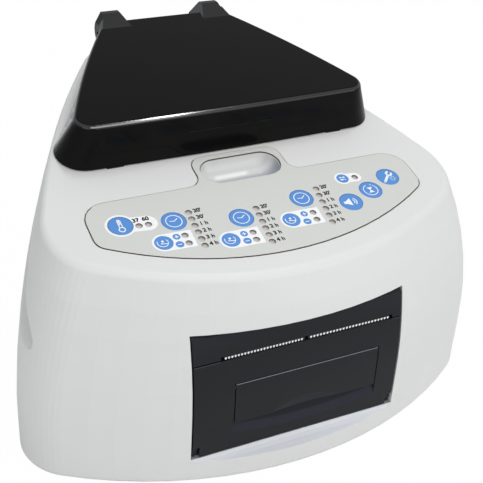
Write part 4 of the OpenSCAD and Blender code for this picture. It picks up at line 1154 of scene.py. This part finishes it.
def build_tick_group():
    g = bpy.data.node_groups.new("dial_ticks", "GeometryNodeTree")
    for label, kind, default in (
        ("Count", "NodeSocketInt", TICK_COUNT),
        ("Radius", "NodeSocketFloat", TICK_CIRCLE * MM),
        ("Length", "NodeSocketFloat", TICK_LENGTH * MM),
        ("Width", "NodeSocketFloat", TICK_WIDTH * MM),
        ("Material", "NodeSocketMaterial", None),
    ):
        s = g.interface.new_socket(name=label, in_out="INPUT", socket_type=kind)
        if default is not None:
            s.default_value = default
    g.interface.new_socket(name="Geometry", in_out="OUTPUT", socket_type="NodeSocketGeometry")
    gi, go = g.nodes.new("NodeGroupInput"), g.nodes.new("NodeGroupOutput")
    circle = g.nodes.new("GeometryNodeCurvePrimitiveCircle")
    points = g.nodes.new("GeometryNodeCurveToPoints")
    points.mode = "COUNT"
    quad = g.nodes.new("GeometryNodeCurvePrimitiveQuadrilateral")
    fill = g.nodes.new("GeometryNodeFillCurve")
    inst = g.nodes.new("GeometryNodeInstanceOnPoints")
    real = g.nodes.new("GeometryNodeRealizeInstances")
    setm = g.nodes.new("GeometryNodeSetMaterial")
    link = g.links.new
    link(gi.outputs["Radius"], circle.inputs["Radius"])
    link(circle.outputs[0], points.inputs["Curve"])
    link(gi.outputs["Count"], points.inputs["Count"])
    link(gi.outputs["Length"], quad.inputs["Height"])
    link(gi.outputs["Width"], quad.inputs["Width"])
    link(quad.outputs[0], fill.inputs[0])
    link(points.outputs["Points"], inst.inputs["Points"])
    link(fill.outputs[0], inst.inputs["Instance"])
    link(points.outputs["Rotation"], inst.inputs["Rotation"])
    link(inst.outputs[0], real.inputs[0])
    link(real.outputs[0], setm.inputs["Geometry"])
    link(gi.outputs["Material"], setm.inputs["Material"])
    link(setm.outputs[0], go.inputs[0])
    return g


TICKS = build_tick_group()
print("group", TICKS.name, "with", len(TICKS.nodes), "nodes")

# %% Run the tree once per dial


def socket_id(group, label):
    for item in group.interface.items_tree:
        if item.item_type == "SOCKET" and item.in_out == "INPUT" and item.name == label:
            return item.identifier
    raise KeyError(label)


def run_nodes(group, values):
    o = bpy.data.objects.new("nodes_base", bpy.data.meshes.new("nodes_base"))
    bpy.context.scene.collection.objects.link(o)
    mod = o.modifiers.new("nodes", "NODES")
    mod.node_group = group
    for label, value in values.items():
        mod[socket_id(group, label)] = value
    bpy.context.view_layer.update()
    dg = bpy.context.evaluated_depsgraph_get()
    out = bpy.data.meshes.new_from_object(o.evaluated_get(dg))
    o.modifiers.remove(mod)
    bpy.data.objects.remove(o)
    return out


for key in TIMER_KEYS:
    me = run_nodes(TICKS, {"Count": TICK_COUNT, "Radius": TICK_CIRCLE * MM,
                           "Length": TICK_LENGTH * MM, "Width": TICK_WIDTH * MM,
                           "Material": MAT["ink_white"]})
    flat = [[(me.vertices[i].co.x / MM, me.vertices[i].co.y / MM) for i in p.vertices]
            for p in me.polygons]
    print_on("ticks_" + key, flat, KEYS[key], INK_ON_KEY, MAT["ink_white"], key)
    bpy.data.meshes.remove(me)

# %% [markdown]
# ## The floor
#
# The device stands on a white ground that fades into the background. A plain white
# plane would render grey away from the lamps, so the camera sees mostly an even glow
# there, while shadows and reflections still come from a real white surface.

# %% A floor that the camera sees as white
FLOOR_HALF = 6.0
FLOOR_WHITE = (0.86, 0.86, 0.86, 1)
GLOW_SHARE = 0.985
scene = bpy.context.scene
scene.view_settings.view_transform = "Standard"


def plain_floor():
    me = bpy.data.meshes.new("floor")
    s = FLOOR_HALF
    me.from_pydata([(-s, -s, 0), (s, -s, 0), (s, s, 0), (-s, s, 0)], [], [(0, 1, 2, 3)])
    o = bpy.data.objects.new("floor", me)
    scene.collection.objects.link(o)
    m = bpy.data.materials.new("floor_white")
    m.use_nodes = True
    tree = m.node_tree
    bsdf = tree.nodes["Principled BSDF"]
    bsdf.inputs["Base Color"].default_value = FLOOR_WHITE
    bsdf.inputs["Roughness"].default_value = 0.9
    glow = tree.nodes.new("ShaderNodeEmission")
    glow.inputs["Strength"].default_value = 1.0
    path = tree.nodes.new("ShaderNodeLightPath")
    mix = tree.nodes.new("ShaderNodeMixShader")
    seen = math_node(tree, "MULTIPLY", path.outputs["Is Camera Ray"], GLOW_SHARE)
    tree.links.new(seen, mix.inputs["Fac"])
    tree.links.new(bsdf.outputs[0], mix.inputs[1])
    tree.links.new(glow.outputs[0], mix.inputs[2])
    tree.links.new(mix.outputs[0], tree.nodes["Material Output"].inputs["Surface"])
    me.materials.append(m)
    return o


print("floor:", plain_floor().name)

# %% [markdown]
# ## The lamps
#
# Soft boxes give broad, quiet reflections on glossy plastic, as a studio does. One hangs
# above the front, one stands wide on the left and one low on the right. A narrow strip
# above the right side of the lid is there only for the thin light along its rims:
# making the boxes brighter would have washed out the white housing.

# %% Soft boxes
# name, place, target, width and depth, power
LIGHTS = [
    ("top_box", (0.1, -0.8, 1.35), (0, 0, 0.1), (0.8, 0.5), 4.0),
    ("edge_strip", (0.36, 0.05, 1.3), (0, 0, 0.1), (0.4, 0.06), 3.4),
    ("left_box", (-1.2, -1.1, 1.05), (0, 0, 0.08), (1.2, 1.0), 4.3),
    ("front_box", (0.9, -1.5, 0.7), (0, 0, 0.06), (1.4, 1.0), 5.6),
]


def soft_light(name, where, target, size, power):
    li = bpy.data.lights.new(name, "AREA")
    li.shape = "RECTANGLE"
    li.size, li.size_y = size
    li.energy = power
    o = bpy.data.objects.new(name, li)
    scene.collection.objects.link(o)
    o.location = where
    o.rotation_euler = (Vector(target) - Vector(where)).to_track_quat("-Z", "Y").to_euler()
    print(name, "power", power)


for light in LIGHTS:
    soft_light(*light)

# %% [markdown]
# ## The world
#
# The surroundings light the device with a dim, slightly cool grey that only fills the
# shadows. The camera would see that grey behind the device, so a second background,
# pure white, is shown to camera rays alone.

# %% A grey world with a white backdrop


def build_world():
    world = bpy.data.worlds.new("studio")
    scene.world = world
    world.use_nodes = True
    tree = world.node_tree
    fill = tree.nodes["Background"]
    fill.inputs["Color"].default_value = (0.9, 0.92, 0.95, 1)
    fill.inputs["Strength"].default_value = 0.5
    shown = tree.nodes.new("ShaderNodeBackground")
    shown.inputs["Color"].default_value = (1, 1, 1, 1)
    shown.inputs["Strength"].default_value = 1.0
    path = tree.nodes.new("ShaderNodeLightPath")
    mix = tree.nodes.new("ShaderNodeMixShader")
    tree.links.new(path.outputs["Is Camera Ray"], mix.inputs["Fac"])
    tree.links.new(fill.outputs[0], mix.inputs[1])
    tree.links.new(shown.outputs[0], mix.inputs[2])
    tree.links.new(mix.outputs[0], tree.nodes["World Output"].inputs["Surface"])
    return world


print("world:", build_world().name)

# %% [markdown]
# ## The camera
#
# A moderately long lens, above and to the left of the front, keeps upright edges nearly
# parallel. Angles would have to be turned in the right order, so the camera is set by
# three axis vectors: its right, its up and its viewing direction.

# %% Place the camera
CAM_RIGHT = Vector((0.90212029, -0.42835153, 0.05190318))
CAM_UP = Vector((0.18590798, 0.49441408, 0.84911303))
CAM_LOOK = Vector((0.38938053, 0.75635288, -0.52565494))
CAM_AT = Vector((-0.189385, -0.39651, 0.33501))
cam = bpy.data.cameras.new("camera")
cam.lens = 76.33
cam.sensor_width = 36.0
cam.clip_start = 0.01
cam_obj = bpy.data.objects.new("camera", cam)
scene.collection.objects.link(cam_obj)
rot = Matrix((CAM_RIGHT, CAM_UP, -CAM_LOOK)).transposed().to_4x4()
cam_obj.matrix_world = Matrix.Translation(CAM_AT) @ rot
scene.camera = cam_obj
print("camera lens, mm:", cam.lens)
